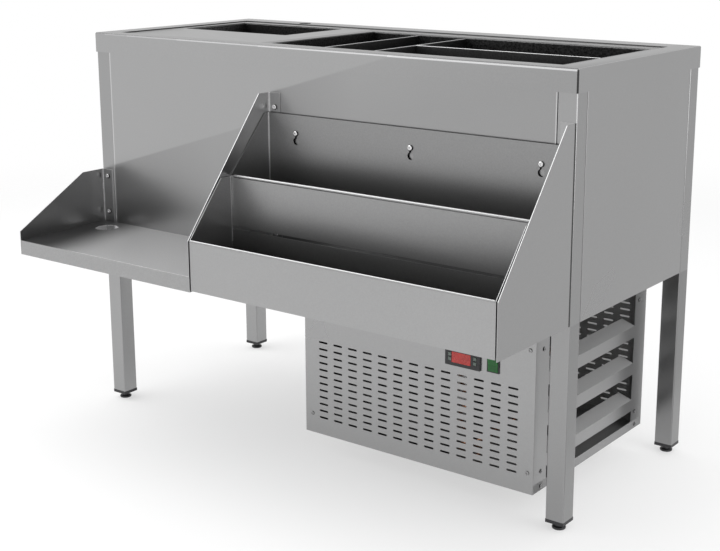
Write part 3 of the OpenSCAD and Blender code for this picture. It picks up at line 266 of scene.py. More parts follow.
# painted light on the worktop, from left to right: painted shade on its flat and on its front bend, and a
# painted highlight in the light band below the bend
worktopPaintedLight = {
    "flat": [(-0.61, -0.151, -0.65), (-0.151, 0.2, -0.62), (0.2, 0.5555, -0.58), (0.5555, 0.5986, -0.68)],
    "bend": [(-0.61, 0.0, -0.67), (0.0, 0.25, -0.68), (0.25, 0.61, -0.69)],
    "band": [(-0.57, -0.5, 0.8460, 0.25), (-0.5, -0.35, 0.8460, 0.45), (-0.35, -0.121, 0.8458, 0.65),
             (-0.121, 0.2, 0.8455, 0.85), (0.2, 0.598, 0.8450, 1.1)],
}
# painted light and joints for each steel, each mark a box and its gain
paintedLightAndJointMarks = {
    # painted highlights on the folds beside the front legs, painted shade in the gap behind the rails
    "front": [(-0.5606, -0.5570, -0.14, -0.12, 0.3, 0.85, 0.45), (0.5575, 0.5606, -0.14, -0.12, 0.3, 0.85, 0.6),
              (-0.0955, 0.6, -0.131, -0.128, 0.447, 0.5, -0.4)],
    "top": [(x0, x1, -0.1288, 0.38, 0.8475, 0.86, gain) for x0, x1, gain in worktopPaintedLight["flat"]]
    + [(x0, x1, -0.131, -0.1289, 0.8484, 0.86, gain) for x0, x1, gain in worktopPaintedLight["bend"]]
    + [(x0, x1, -0.131, -0.1285, low, 0.8484, gain) for x0, x1, low, gain in worktopPaintedLight["band"]]
    # a dark joint at the front right corner, and painted shade along the rim's step, in the sink's and the
    # tap's holes and along the well's flange
    + [(0.5972, 0.61, -0.131, -0.1275, 0.8, 0.8475, -0.85),
       (-0.5555, -0.5530, -0.095, 0.315, 0.84, 0.86, -0.5), (-0.5555, 0.5555, 0.3110, 0.3150, 0.84, 0.86, -0.6),
       (-0.531, -0.230, 0.0795, 0.2805, 0.8464, 0.8478, -0.85),
       (-0.402, -0.373, 0.3205, 0.3495, 0.846, 0.8497, -0.85),
       (-0.1525, -0.1495, -0.085, 0.262, 0.8475, 0.86, -0.7)],
    # painted shade over the highlight on the right panel's back fold
    "right": [(0.58, 0.6, 0.3272, 0.3305, 0.3, 0.85, -0.35)],
    # painted shade on the right legs below the panel, a little painted light above it
    "upright": [(0.55, 0.6, -0.14, 0.38, 0, 0.3949, -0.08), (0.55, 0.6, 0.32, 0.38, 0, 0.3949, -0.12),
                (0.55, 0.6, -0.14, 0.38, 0.3949, 0.86, 0.03)],
    # painted shade on the liner's flange, a painted highlight along the top of its back wall
    "liner": [(-0.61, 0.61, -0.2, 0.4, 0.8475, 0.86, -0.55),
              (-0.126, 0.544, 0.2605, 0.2640, 0.8466, 0.8481, 1.1),
              (-0.126, 0.544, 0.2605, 0.2640, 0.8456, 0.8466, 5)],
    # painted shadow in the gap at the right bracket's back edge, a painted highlight on the left fold, painted
    # shade on the flange and behind the rails, painted light on the inner face
    "bracket": [(0.597, 0.6, -0.1340, -0.12, 0.3, 0.8, -0.85),
                (-0.0942, -0.0912, -0.1305, -0.128, 0.3, 0.8, 0.9),
                (-0.0956, -0.0650, -0.1305, -0.128, 0.3, 0.8, -0.18),
                (-0.0957, -0.0938, -0.38, -0.1305, 0.3, 0.8, 0.14),
                (-0.0956, -0.0650, -0.1305, -0.128, 0.447, 0.5, -0.4)],
    # painted highlights along the side panel's folds
    "shelfSide": [(-0.5972, -0.5942, -0.1305, -0.128, 0.3, 0.6, 0.9),
                  (-0.5690, -0.5655, -0.1305, -0.128, 0.3, 0.6, 0.6)],
    # painted shade on the shelf's apron
    "shelf": [(-0.6, 0, -0.368, -0.3655, 0.39, 0.4254, -0.24)],
    # painted highlights along the fold at each rail's left end
    "upperRail": [(-0.0924, -0.0893, -0.1356, -0.13, 0.515, 0.72, 1.2)],
    "lowerRail": [(-0.0914, -0.0883, -0.2516, -0.249, 0.475, 0.61, 1.2)],
}
steel = {
    "front": steelMaterial("frontSteel", alongX, jointsAndPaintedLight=paintedLightAndJointMarks["front"], lines=frontShade),
    "top": steelMaterial("topSteel", alongX, jointsAndPaintedLight=paintedLightAndJointMarks["top"], lines=frontShade),
    "side": steelMaterial("sideSteel", alongY),
    "right": steelMaterial("rightSteel", alongY, jointsAndPaintedLight=paintedLightAndJointMarks["right"]),
    "bracket": steelMaterial("bracketSteel", alongY, jointsAndPaintedLight=paintedLightAndJointMarks["bracket"]),
    "shelfSide": steelMaterial("shelfSideSteel", alongY, 0.32, jointsAndPaintedLight=paintedLightAndJointMarks["shelfSide"]),
    # the shelf: its fade is painted shade over its left and back end, its mark painted shade on its apron
    "shelf": steelMaterial("shelfSteel", alongX, 0.44, 0.344, jointsAndPaintedLight=paintedLightAndJointMarks["shelf"], speckle=0.08, metal=0.55,
                           fade=(-0.196, -0.605, -0.465, 0.07, 0.4252)),
    "upright": steelMaterial("uprightSteel", alongZ, 0.345, jointsAndPaintedLight=paintedLightAndJointMarks["upright"]),
    # painted shade inside the sink and the well, dark from just below their rims
    "sink": steelMaterial("sinkSteel", alongX, None, 0.41, (0.8452, 0.8466, 0.1, 1)),
    "well": steelMaterial("wellSteel", alongX, None, 0.41, (0.8464, 0.8475, 0.1, 1), jointsAndPaintedLight=paintedLightAndJointMarks["liner"]),
    # the dividers' bright tone paints a highlight on their top edges; below the top it is painted shade
    "divider": steelMaterial("dividerSteel", alongY, 0.74, 0.306, (0.8440, 0.8456, 0.16, 1), spotted=0.3),
    "falseBottom": steelMaterial("falseBottomSteel", alongX, 0.3, 0.41),
    # painted shade on the rails' inner floors, less on their inner walls, with spots
    "upperRail": steelMaterial("upperRailSteel", alongX, 0.33, 0.344, (0.507, 0.55, 0.44, 0.85),
                               (-0.0924, 0.5934, -0.2484, -0.1344), paintedLightAndJointMarks["upperRail"], speckle=0.05),
    "lowerRail": steelMaterial("lowerRailSteel", alongX, 0.379, 0.344, (0.446, 0.474, 0.43, 0.8),
                               (-0.0914, 0.5929, -0.3677, -0.2504), paintedLightAndJointMarks["lowerRail"], speckle=0.04),
    "louvreReturn": steelMaterial("louvreReturnSteel", alongY, 0.36, 0.5, metal=0.1),
    "unit": steelMaterial("unitSteel", alongX, 0.35),
    # darker, duller steel for the unit's inside: its darkness is painted shade
    "unitInsideShaded": steelMaterial("unitInsideShadedSteel", alongX, 0.28, 0.5, metal=0.3),
    "screw": steelMaterial("screwSteel", alongX, 0.34, 0.245),
    "hookPad": steelMaterial("hookPadSteel", alongX, 0.33, 0.306),
    # black for the painted shadow ring under bolt and screw heads
    "paintedShadow": plainMaterial("paintedShadowBlack", (0.03, 0.03, 0.03), 0.6, 1.0),
}
print("materials made")

for name, node in cadNodes.items():
    node.data.materials.clear()
    node.data.materials.append(looks[slotOf[name]])


# shapes as whole arrays, in millimetres
def gridShell(points, around=False, along=False):
    # four-sided faces between the neighbours of a grid of points; around joins the last
    # column to the first, along joins the last row to the first
    rows, cols = points.shape[:2]
    r = np.arange(rows if along else rows - 1)[:, None]
    c = np.arange(cols if around else cols - 1)[None, :]
    r2, c2 = (r + 1) % rows, (c + 1) % cols
    faces = np.stack([r * cols + c, r * cols + c2, r2 * cols + c2, r2 * cols + c], axis=-1)
    return points.reshape(-1, 3), faces.reshape(-1, 4)


def turned(rows, centre, axis="z", segments=32, way=1):
    # a turned shape: rings of (radius, distance along the axis); a radius may change with the angle
    angle = np.arange(segments) * 2 * np.pi / segments
    radius = np.array([np.broadcast_to(r, segments) for r, h in rows])
    height = way * np.array([np.broadcast_to(h, segments) for r, h in rows])
    u, v = radius * np.cos(angle), radius * np.sin(angle)
    order = {"x": (height, u, v), "y": (u, height, v), "z": (u, v, height)}[axis]
    return gridShell(np.stack(order, axis=-1) + np.array(centre), around=True)


def blocks(lows, highs):
    # many boxes at once: the eight corners of a unit box, stretched from each low corner to its high one
    lows, highs = np.atleast_2d(lows), np.atleast_2d(highs)
    unit = np.array([[x, y, z] for z in (0, 1) for y in (0, 1) for x in (0, 1)])
    sides = np.array([[0, 2, 3, 1], [4, 5, 7, 6], [0, 1, 5, 4], [2, 6, 7, 3], [0, 4, 6, 2], [1, 3, 7, 5]])
    points = lows[:, None, :] + unit[None] * (highs - lows)[:, None, :]
    faces = sides[None] + 8 * np.arange(len(lows))[:, None, None]
    return points.reshape(-1, 3), faces.reshape(-1, 4)


def pipeAlong(path, radius, bend=14, sides=14, steps=7):
    # a bent pipe: each corner becomes a curve that leaves the run a bend's length before it,
    # and a ring of points stands square to the path at every station
    path = np.array(path, float)
    run = np.diff(path, axis=0)
    length = np.linalg.norm(run, axis=1, keepdims=True)
    way = run / length
    reach = np.minimum(bend, 0.45 * np.minimum(length[:-1], length[1:]))
    t = np.linspace(0, 1, steps)[None, :, None]
    corner, before, after = path[1:-1, None], (path[1:-1] - way[:-1] * reach)[:, None], \
        (path[1:-1] + way[1:] * reach)[:, None]
    curve = ((1 - t) ** 2 * before + 2 * t * (1 - t) * corner + t ** 2 * after).reshape(-1, 3)
    line = np.concatenate([path[:1], curve, path[-1:]])
    tangent = np.gradient(line, axis=0)
    tangent[0], tangent[-1] = way[0], way[-1]
    tangent /= np.linalg.norm(tangent, axis=1, keepdims=True)
    lean = np.array([0.31, 0.52, 0.80])
    across = lean - (tangent @ lean)[:, None] * tangent
    across /= np.linalg.norm(across, axis=1, keepdims=True)
    other = np.cross(tangent, across)
    angle = np.arange(sides) * 2 * np.pi / sides
    rings = line[:, None] + radius * (np.cos(angle)[None, :, None] * across[:, None]
                                      + np.sin(angle)[None, :, None] * other[:, None])
    ends = [np.repeat(line[i][None, None], sides, axis=1) for i in (0, -1)]
    return gridShell(np.concatenate([ends[0], rings, ends[1]]), around=True)


def makePiece(name, parts, replaced, materials=None, angle=35, bevel=0.0, weighted=False):
    # several shells in one mesh: doubles merged, poles closed, faces turned outwards
    starts = np.cumsum([0] + [len(p[0]) for p in parts])
    faces = [f for p, s in zip(parts, starts) for f in (np.asarray(p[1]) + s).tolist()]
    index = np.concatenate([np.broadcast_to(p[2] if len(p) > 2 else 0, len(p[1])) for p in parts])
    mesh = bpy.data.meshes.new(name)
    mesh.from_pydata((np.concatenate([p[0] for p in parts]) * mm).tolist(), [], faces)
    mesh.polygons.foreach_set("material_index", index.astype(np.int32))
    work = bmesh.new()
    work.from_mesh(mesh)
    bmesh.ops.remove_doubles(work, verts=work.verts, dist=2e-6)
    bmesh.ops.recalc_face_normals(work, faces=work.faces)
    work.to_mesh(mesh)
    work.free()
    mesh.polygons.foreach_set("use_smooth", np.ones(len(mesh.polygons), bool))
    mesh.set_sharp_from_angle(angle=math.radians(angle))
    for material in materials or [looks[slotOf[replaced]]]:
        mesh.materials.append(material)
    piece = bpy.data.objects.new(name, mesh)
    scene.collection.objects.link(piece)
    if bevel:
        softEdges(piece, bevel, angle)
    if weighted:
        piece.modifiers.new("flatFaces", "WEIGHTED_NORMAL").keep_sharp = True
    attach(piece, bodyOf[replaced])
    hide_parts(replaced)


# folded sheet: what is merged, which edges are rounded, and by how much along inner corners
edgeLook = {"merge": 2e-6, "flat": 0.3, "sharp": 30, "segments": 2, "inner": 0.03, "upright": 0.98}


def softEdges(piece, width, angle):
    edges = piece.modifiers.new("edges", "BEVEL")
    edges.width = width * mm
    edges.segments = edgeLook["segments"]
    edges.limit_method = "ANGLE"
    edges.angle_limit = math.radians(angle)
    edges.harden_normals = True
    edges.use_clamp_overlap = True


def softCopy(name, width, material=None, second=None, chosen=None):
    # a copy of a CAD node, merged first, that stands for the node; its outer edges and its
    # upright folds are rounded, and inner corners along a floor much less. The faces that
    # chosen picks by their middle take the second material
    sharpAngle = math.radians(edgeLook["sharp"])
    mesh = cadNodes[name].data.copy()
    mesh.name = name + "Soft"
    mesh.materials.clear()
    work = bmesh.new()
    work.from_mesh(mesh)
    bmesh.ops.remove_doubles(work, verts=work.verts, dist=edgeLook["merge"])
    bmesh.ops.dissolve_limit(work, angle_limit=math.radians(edgeLook["flat"]),
                             verts=work.verts, edges=work.edges)
    weight = work.edges.layers.float.new("bevel_weight_edge")
    for e in work.edges:
        sharp = len(e.link_faces) == 2 and e.calc_face_angle(0) > sharpAngle
        upright = abs(e.verts[0].co.z - e.verts[1].co.z) > edgeLook["upright"] * e.calc_length()
        e[weight] = (1.0 if e.is_convex or upright else edgeLook["inner"]) if sharp else 0.0
    for f in work.faces:
        f.material_index = int(bool(chosen and chosen(f.calc_center_median())))
    work.to_mesh(mesh)
    work.free()
    piece = bpy.data.objects.new(name + "Soft", mesh)
    scene.collection.objects.link(piece)
    mesh.materials.append(material or looks[slotOf[name]])
    if chosen:
        mesh.materials.append(second)
    mesh.polygons.foreach_set("use_smooth", np.ones(len(mesh.polygons), bool))
    mesh.set_sharp_from_angle(angle=sharpAngle)
    softEdges(piece, width, edgeLook["sharp"])
    piece.modifiers["edges"].limit_method = "WEIGHT"
    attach(piece, bodyOf[name])
    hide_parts(name)


def boxOf(name):
    # the low and high corner of a node, in millimetres
    mesh = cadNodes[name].data
    points = np.empty(len(mesh.vertices) * 3, np.float32)
    mesh.vertices.foreach_get("co", points)
    points = points.reshape(-1, 3) / mm
    return points.min(axis=0), points.max(axis=0)


# sheet metal: the width of each folded edge in millimetres, and its steel
sheetPieces = {
    "front_panel": (0.7, "front"), "back_panel": (0.7, None), "left_panel": (0.6, "side"),
    "right_panel": (0.6, "right"), "worktop": (0.6, "top"), "hanger_rails": (0.5, None),
    "sink_bowl": (0.5, "sink"), "well_liner": (0.45, "well"), "well_casing": (0.4, None),
    "divider_guides": (0.3, "divider"), "well_false_bottom": (0.4, "falseBottom"),
    "divider_left": (0.5, "divider"), "divider_middle": (0.5, "divider"), "divider_cross": (0.5, "divider"),
    "blender_shelf": (0.7, "shelf"), "shelf_side_panel": (0.7, "shelfSide"),
    "rail_bracket_left": (0.7, "bracket"), "rail_bracket_right": (0.7, "bracket"),
    "upper_rail": (0.5, "upperRail"), "lower_rail": (0.5, "lowerRail"), "unit_tray": (0.5, "unitInsideShaded"),
    "unit_left_side": (0.4, "side"), "fan_shroud": (0.5, None),
    "sink_drain": (0.4, None), "sink_drain_nut": (0.8, None), "sink_strainer": (0.3, None),
    "well_drain": (0.3, None), "rail_bolts": (0.4, "lowerRail"),
}
for name, (width, finish) in sheetPieces.items():
    softCopy(name, width, steel[finish] if finish else None)

# the returns of the slats lie open to the light from the side
returnsLook = {"width": 0.4, "leftOf": 0.5322, "between": (-0.11, 0.30)}


def isReturn(middle):
    return middle.x < returnsLook["leftOf"] and returnsLook["between"][0] < middle.y < returnsLook["between"][1]


softCopy("unit_right_louvre", returnsLook["width"], steel["unit"], steel["louvreReturn"], isReturn)
print("sheet metal softened")


# legs: square tube with rounded corners, open at both ends
legLook = {"size": 38, "wall": 1.5, "round": 2.6, "low": 20.5, "high": 848.5,
           "sides": (-598.5, 598.5), "ends": (-128.5, 368.5)}


def roundedSquare(half, radius, steps=6):
    # four quarter circles, one for each corner, joined into a loop
    turn = np.concatenate([np.linspace(a, a + np.pi / 2, steps) for a in np.arange(4) * np.pi / 2])
    corner = np.repeat([[1, 1], [-1, 1], [-1, -1], [1, -1]], steps, axis=0) * (half - radius)
    return corner + radius * np.stack([np.cos(turn), np.sin(turn)], axis=-1)


half = legLook["size"] / 2
(left, right), (front, back) = legLook["sides"], legLook["ends"]
legPlaces = [(x, y) for x in (left + half, right - half) for y in (front + half, back - half)]
outer = roundedSquare(half, legLook["round"])
inner = roundedSquare(half - legLook["wall"], legLook["round"] - legLook["wall"])
low, high = legLook["low"], legLook["high"]
legParts = []
for x, y in legPlaces:
    loop = np.stack([np.c_[ring + (x, y), np.full(len(ring), z)]
                     for ring, z in ((outer, low), (outer, high), (inner, high), (inner, low))])
    legParts.append(gridShell(loop, around=True, along=True))
makePiece("legTubes", legParts, "legs", [steel["upright"]], 50, weighted=True)
softCopy("leg_plugs", 0.9)

# feet: a turned disc and neck on a threaded stud; the thread is a ramp that climbs a pitch each turn
footLook = {"disc": 13, "neck": 7.5, "stud": 5, "pitch": 1.5, "thread": 0.5, "threadZ": (14.6, 61.5),
            "top": 63.5, "around": 32}
footNodes = ("foot_front_left", "foot_back_left", "foot_front_right", "foot_back_right")
r, n, s, top = footLook["disc"], footLook["neck"], footLook["stud"], footLook["top"]
turn = np.arange(footLook["around"]) / footLook["around"]
levels = np.arange(*footLook["threadZ"], footLook["pitch"] / 4)
ramps = [np.abs(2 * ((z / footLook["pitch"] - turn) % 1) - 1) for z in levels]
footRows = [(0, 0), (r - 1.4, 0), (r - 0.5, 0.4), (r, 1.4), (r, 3.4), (r - 0.6, 4.5), (r - 2, 5.2),
            (n + 1.6, 5.5), (n + 0.4, 6.0), (n, 7.0), (n, 12.8), (n - 0.6, 13.5), (s - 0.4, 13.5)]
footRows += [(s - footLook["thread"] * ramp, z) for ramp, z in zip(ramps, levels)]
footRows += [(s - 0.6, top - 1.5), (s - 1.4, top), (0, top)]
for node, (x, y) in zip(footNodes, legPlaces):
    makePiece(node + "Turned", [turned(footRows, (x, y, 0), segments=footLook["around"])], node, angle=40)
print("legs and feet made")


# bolts and screws: a domed head with a recess; the recess is the angle's own radius
headLook = {"bolt": (5.5, 3.0, 3.0), "hook": (5.5, 3.5, 3.0), "screw": (4.2, 1.5, 2.0), "around": 48,
            "hex": 1.9, "cross": (2.3, 0.62), "deep": 0.6}
headTurn = np.arange(headLook["around"]) * 2 * np.pi / headLook["around"]


def hexRecess(size):
    # the distance to a hexagon's side: its half width over the cosine from that side's middle
    return size / np.cos((headTurn % (np.pi / 3)) - np.pi / 6)


def crossRecess(arm, width):
    # the further of two crossed bars, each as far as its end or its side
    c, s = np.abs(np.cos(headTurn)) + 1e-9, np.abs(np.sin(headTurn)) + 1e-9
    return np.maximum(np.minimum(arm / c, width / s), np.minimum(arm / s, width / c))


def boltShell(seat, axis, way, headR, headH, shankR, shankL, recess, depth):
    # from the shank's end to its seat, out under the head, over the dome and down into the recess
    lift = np.linspace(0, np.pi / 2, 6)[:-1]
    rim = headR * 0.62
    dome = [(rim + (headR - rim) * math.cos(t), headH * (0.45 + 0.55 * math.sin(t))) for t in lift]
    rows = [(0, -shankL), (shankR - 0.5, -shankL), (shankR, 0.5 - shankL), (shankR, 0)]
    rows += [(headR - 0.2, 0), (headR, 0.2)] + dome
    rows += [(rim, headH), (recess + 0.12, headH), (recess, headH - 0.15)]
    rows += [(recess, headH - depth), (0, headH - depth)]
    points, faces = turned(rows, seat, axis, headLook["around"], way)
    # the head's underside, its rim and the foot of its dome take the second, black material: a painted shadow
    # ring under the head
    paintedShadow = np.isin(np.arange(len(rows) - 1), (3, 4, 5, 6, 7)).astype(int)
    return points, faces, np.repeat(paintedShadow, headLook["around"])


def boltAt(x, y, z, length, kind="bolt", axis="y", way=-1):
    headR, headH, shankR = headLook[kind]
    recess = crossRecess(*headLook["cross"]) if kind == "screw" else hexRecess(headLook["hex"])
    return boltShell((x, y, z), axis, way, headR, headH, shankR, length, recess, headH * headLook["deep"])


# bolts on the front wall: x and shank length, and the shelf bolts' heights; nut is its front and back
boltLook = {"wall": -130, "shelf": (-581.7, 1.5), "shelfZ": (449, 530), "brackets": [(-79.6, 7), (582.6, 1.5)],
            "hooks": (-21, 257, 536), "nut": (-127, -122.5)}
boltSteel = [looks["fastener"], steel["paintedShadow"]]
wall = boltLook["wall"]
x, length = boltLook["shelf"]
makePiece("shelfBolts", [boltAt(x, wall, z, length) for z in boltLook["shelfZ"]], "shelf_bolts", boltSteel)
low, high = boxOf("bracket_bolts")
boltHeights = (low[2] + headLook["bolt"][0], high[2] - headLook["bolt"][0])
bracketParts = [boltAt(x, wall, z, length) for x, length in boltLook["brackets"] for z in boltHeights]
makePiece("bracketBolts", bracketParts, "bracket_bolts", boltSteel)

low, high = boxOf("hanging_bolts")
hookHeight, nutR = (low[2] + high[2]) / 2, (high[2] - low[2]) / 2
hookSeat = low[1] + headLook["hook"][1]
side = hexRecess(nutR * 0.88)
front, back = boltLook["nut"]
nutRows = [(3, front), (side - 0.4, front), (side, front + 0.4),
           (side, back - 0.4), (side - 0.4, back), (3, back)]
hookParts = []
for x in boltLook["hooks"]:
    hookParts.append(boltAt(x, hookSeat, hookHeight, high[1] - hookSeat, "hook"))
    hookParts.append(turned(nutRows, (x, 0, hookHeight), "y", headLook["around"]))

# the unit's screws: x and z on its front, y from the front wall and z on its sides
screwPlaces = {"front": [(x, z) for x in (8.7, 521.0) for z in (337, 100)], "right": 533.5, "left": -8.5,
               "side": [(29, 335), (29, 97), (29, 67.6), (416, 337), (416, 96), (416, 67.6)]}
screwParts = [boltAt(x, wall, z, 6, "screw") for x, z in screwPlaces["front"]]
for y, z in screwPlaces["side"]:
    screwParts += [boltAt(screwPlaces[end], y + wall, z, 5, "screw", "x", way)
                   for end, way in (("right", 1), ("left", -1))]
makePiece("unitScrews", screwParts, "unit_screws", [steel["screw"], steel["paintedShadow"]])
print("fasteners made")


# grille plates with round-ended slots: the flat is cut into triangles round the slots' outlines
grilleLook = {"slotW": 22.3, "slotH": 4, "pitchX": 37.37, "pitchZ": 14.7, "cols": 13,
              "startX": 27.8, "startZ": 94, "frontRows": 12, "backRows": 16}
panelHoles = {"controller": (342.0, 279.0, 413.0, 308.0), "switch": (431.5, 279.5, 456.5, 309.5),
              "inlet": (52.5, 349.5, 80.5, 369.5), "screw": 4.2}
# the long pad behind each hanging bolt: how much longer and lower than its nut, and its two faces
padLook = {"longer": 15.5, "lower": 7.75, "faces": (-130.5, -128.5)}


def roundSlot(x, z, width, height, steps=5):
    # two half circles, one at each end
    turn = np.concatenate([np.linspace(-np.pi / 2, np.pi / 2, steps),
                           np.linspace(np.pi / 2, 1.5 * np.pi, steps)])
    shift = np.repeat([width / 2 - height / 2, height / 2 - width / 2], steps)
    return np.stack([x + shift + height / 2 * np.cos(turn), z + height / 2 * np.sin(turn)], axis=-1)


def rectangle(x0, z0, x1, z1):
    return np.array([[x0, z0], [x1, z0], [x1, z1], [x0, z1]], float)


def insideLoop(points, loop):
    # a point is inside where a level line from it crosses the loop an odd number of times
    x, z = points[:, 0][:, None], points[:, 1][:, None]
    x0, z0 = loop[:, 0][None], loop[:, 1][None]
    x1, z1 = np.roll(loop[:, 0], -1)[None], np.roll(loop[:, 1], -1)[None]
    crosses = (z0 > z) != (z1 > z)
    rise = np.where(z1 == z0, 1, z1 - z0)
    return (crosses & (x < x0 + (z - z0) / rise * (x1 - x0))).sum(axis=1) % 2 == 1


def plateShells(outline, holes, y0, y1):
    # a flat with holes at y0 and again at y1, and a wall between them round every outline
    loops = [outline] + holes
    flat = np.concatenate(loops)
    starts = np.cumsum([0] + [len(p) for p in loops])
    edges = [(s + i, s + (i + 1) % len(p)) for p, s in zip(loops, starts) for i in range(len(p))]
    found = delaunay_2d_cdt([Vector(p) for p in flat], edges, [], 1, 1e-5, False)
    points = np.array([tuple(v) for v in found[0]])
    faces = np.array([f for f in found[2] if len(f) == 3])
    middle = points[faces].mean(axis=1)
    keep = insideLoop(middle, outline)
    for hole in holes:
        keep &= ~insideLoop(middle, hole)
    front, back = [np.c_[points[:, 0], np.full(len(points), y), points[:, 1]] for y in (y0, y1)]
    walls = [gridShell(np.stack([np.c_[p[:, 0], np.full(len(p), y), p[:, 1]] for y in (y0, y1)]), around=True)
             for p in loops]
    return [(front, faces[keep]), (back, faces[keep][:, ::-1])] + walls


def grillePlate(node, rows, extra, material, inner=False):
    # the slots stand on a grid; inner gives the face at the front a second material, the darker steel of
    # painted shade inside the unit
    low, high = boxOf(node)
    g = grilleLook
    holes = [roundSlot(g["startX"] + i * g["pitchX"] + g["slotW"] / 2,
                       g["startZ"] + j * g["pitchZ"] + g["slotH"] / 2, g["slotW"], g["slotH"])
             for i in range(g["cols"]) for j in range(rows)]
    outline = rectangle(high[0], high[2], low[0], low[2])
    shells = plateShells(outline, holes + extra, low[1], high[1])
    if inner:
        shells[0] = (*shells[0], 1)
    makePiece(node + "Plate", shells, node, material, angle=25)


for x in boltLook["hooks"]:
    pad = roundSlot(0, 0, 2 * nutR + padLook["longer"], 2 * nutR, 9)[:, ::-1]
    pad = pad + (x, hookHeight - padLook["lower"])
    hookParts += [(*shell, 2) for shell in plateShells(pad, [], *padLook["faces"])]
makePiece("hangingBolts", hookParts, "hanging_bolts", boltSteel + [steel["hookPad"]])
frontHoles = [rectangle(*panelHoles["controller"]), rectangle(*panelHoles["switch"])]
frontHoles += [roundSlot(x, z, panelHoles["screw"], panelHoles["screw"]) for x, z in screwPlaces["front"]]
grillePlate("unit_front_grille", grilleLook["frontRows"], frontHoles, [steel["unit"]])
grillePlate("unit_back_grille", grilleLook["backRows"], [rectangle(*panelHoles["inlet"])],
            [steel["unit"], steel["unitInsideShaded"]], True)
print("grilles cut")


# controls: moulded edges on the bezel, the keys, the switch and the socket
for name, width in {"controller_body": 0.6, "controller_display": 0.15, "key_top_left": 0.4,
                    "key_bottom_left": 0.4, "key_top_right": 0.4, "key_bottom_right": 0.4,
                    "switch_frame": 0.5, "switch_rocker": 0.4, "power_inlet": 0.5, "junction_box": 1.5,
                    "filter_drier": 0.5, "compressor_mounts": 0.8}.items():
    softCopy(name, width)


# compressor: a turned shell with a welded band, on a plate with a hole at each mount, and its
# terminal cover, a block between two distances from the axis and two heights
compressorLook = {"centre": (171.5, 166, 81.5), "plate": (90, 72, 3), "mount": (78, 56, 10.2),
                  "coverX": (64, 98), "coverY": 22, "coverZ": (50, 100), "bevel": 0.8,
                  "shell": [(0, 0), (48, 0.5), (60, 4), (67, 11), (70, 20), (70.5, 30), (70.5, 76), (72, 78),
                            (72, 88), (70.5, 90), (70.5, 132), (68, 143), (61, 151), (48, 156.5),
                            (28, 159.3), (12, 160), (0, 160)]}
x, y, z = compressorLook["centre"]
plateX, plateY, plateT = compressorLook["plate"]
mountX, mountY, mountHole = compressorLook["mount"]
coverX, coverY, coverZ = compressorLook["coverX"], compressorLook["coverY"], compressorLook["coverZ"]
mountHoles = [roundSlot(x + sx * mountX, y + sy * mountY, mountHole, mountHole, 9)
              for sx in (-1, 1) for sy in (-1, 1)]
plate = plateShells(rectangle(x - plateX, y - plateY, x + plateX, y + plateY), mountHoles, z - plateT, z)
compressorParts = [turned(compressorLook["shell"], (x, y, z), "z", 64),
                   blocks((x + coverX[0], y - coverY, z + coverZ[0]),
                          (x + coverX[1], y + coverY, z + coverZ[1]))]
compressorParts += [(points[:, [0, 2, 1]], faces) for points, faces in plate]
makePiece("compressorShell", compressorParts, "compressor", angle=38, bevel=compressorLook["bevel"])


# condenser: thin fins between two end plates, with tubes that turn back outside them
coilLook = {"x0": 75.5, "x1": 337.5, "y0": -100, "y1": -55, "z0": 68.5, "z1": 281.5, "fins": 105,
            "finT": 0.35, "plateT": 1.5, "plateZ": (60.5, 285.5), "rowZ": 95.5, "rowPitch": 38, "rows": 5,
            "turnR": 9, "tubeR": 4, "tubeY": -77.5, "bendPoints": 11}
q = coilLook
finX = np.linspace(q["x0"] + 1, q["x1"] - 1.4, q["fins"])
lows = np.stack([finX, np.full(q["fins"], q["y0"]), np.full(q["fins"], q["z0"])], axis=-1)
highs = np.stack([finX + q["finT"], np.full(q["fins"], q["y1"]), np.full(q["fins"], q["z1"])], axis=-1)
plateX = (q["x0"] - q["plateT"], q["x1"])
coilParts = [(*blocks(lows, highs), 0),
             (*blocks([(x, q["y0"] - 2, q["plateZ"][0]) for x in plateX],
                      [(x + q["plateT"], q["y1"], q["plateZ"][1]) for x in plateX]), 0)]
turn = np.linspace(0, np.pi, q["bendPoints"])
tubeRows = [(0, q["x0"] - 1), (q["tubeR"], q["x0"] - 1), (q["tubeR"], q["x1"] + 1), (0, q["x1"] + 1)]
for i in range(q["rows"]):
    z = q["rowZ"] + i * q["rowPitch"]
    for x, way in ((q["x0"] - 1, -1), (q["x1"] + 1, 1)):
        bend = np.stack([x + way * q["turnR"] * np.sin(turn), np.full(len(turn), q["tubeY"]),
                         z + q["turnR"] * np.cos(turn)], axis=-1)
        coilParts.append((*pipeAlong(bend, q["tubeR"], 0.5, 12, 2), 1))
    for s in (-1, 1):
        coilParts.append((*turned(tubeRows, (0, q["tubeY"], z + s * q["turnR"]), "x", 12), 1))
makePiece("condenserFins", coilParts, "condenser", [looks["fins"], looks["copper"]], 40)


# fan: five cambered blades on a turned hub; the section is carried out along the blade, its
# chord swells and is rounded off from tipFrom over tipOver, and its pitch falls towards the tip
fanLook = {"centre": (206.5, -42, 190), "blades": 5, "rootR": 13, "tipR": 80, "chord": 46, "rootChord": 0.62,
           "tipFrom": 0.72, "tipOver": 0.34, "rootPitch": 34, "tipPitch": 20, "camber": 2.6, "thick": 1.5,
           "forward": 6, "hub": [(0, 0), (11, 0.2), (14.5, 1.2), (16, 3), (16, 12), (3, 12), (3, 53.5),
                                 (2.4, 54), (0, 54)]}
f = fanLook
out = np.linspace(0, 1, 14)
radial = f["rootR"] + (f["tipR"] - f["rootR"]) * out
swell = f["rootChord"] + (1 - f["rootChord"]) * np.sin(out * np.pi / 2)
wide = f["chord"] / 2 * swell * np.sqrt(1 - np.clip((out - f["tipFrom"]) / f["tipOver"], 0, 1) ** 2)
pitch = np.radians(f["rootPitch"] + (f["tipPitch"] - f["rootPitch"]) * out)
across = np.cos(np.linspace(0, np.pi, 9))
loopV = np.concatenate([across, -across[1:-1]])
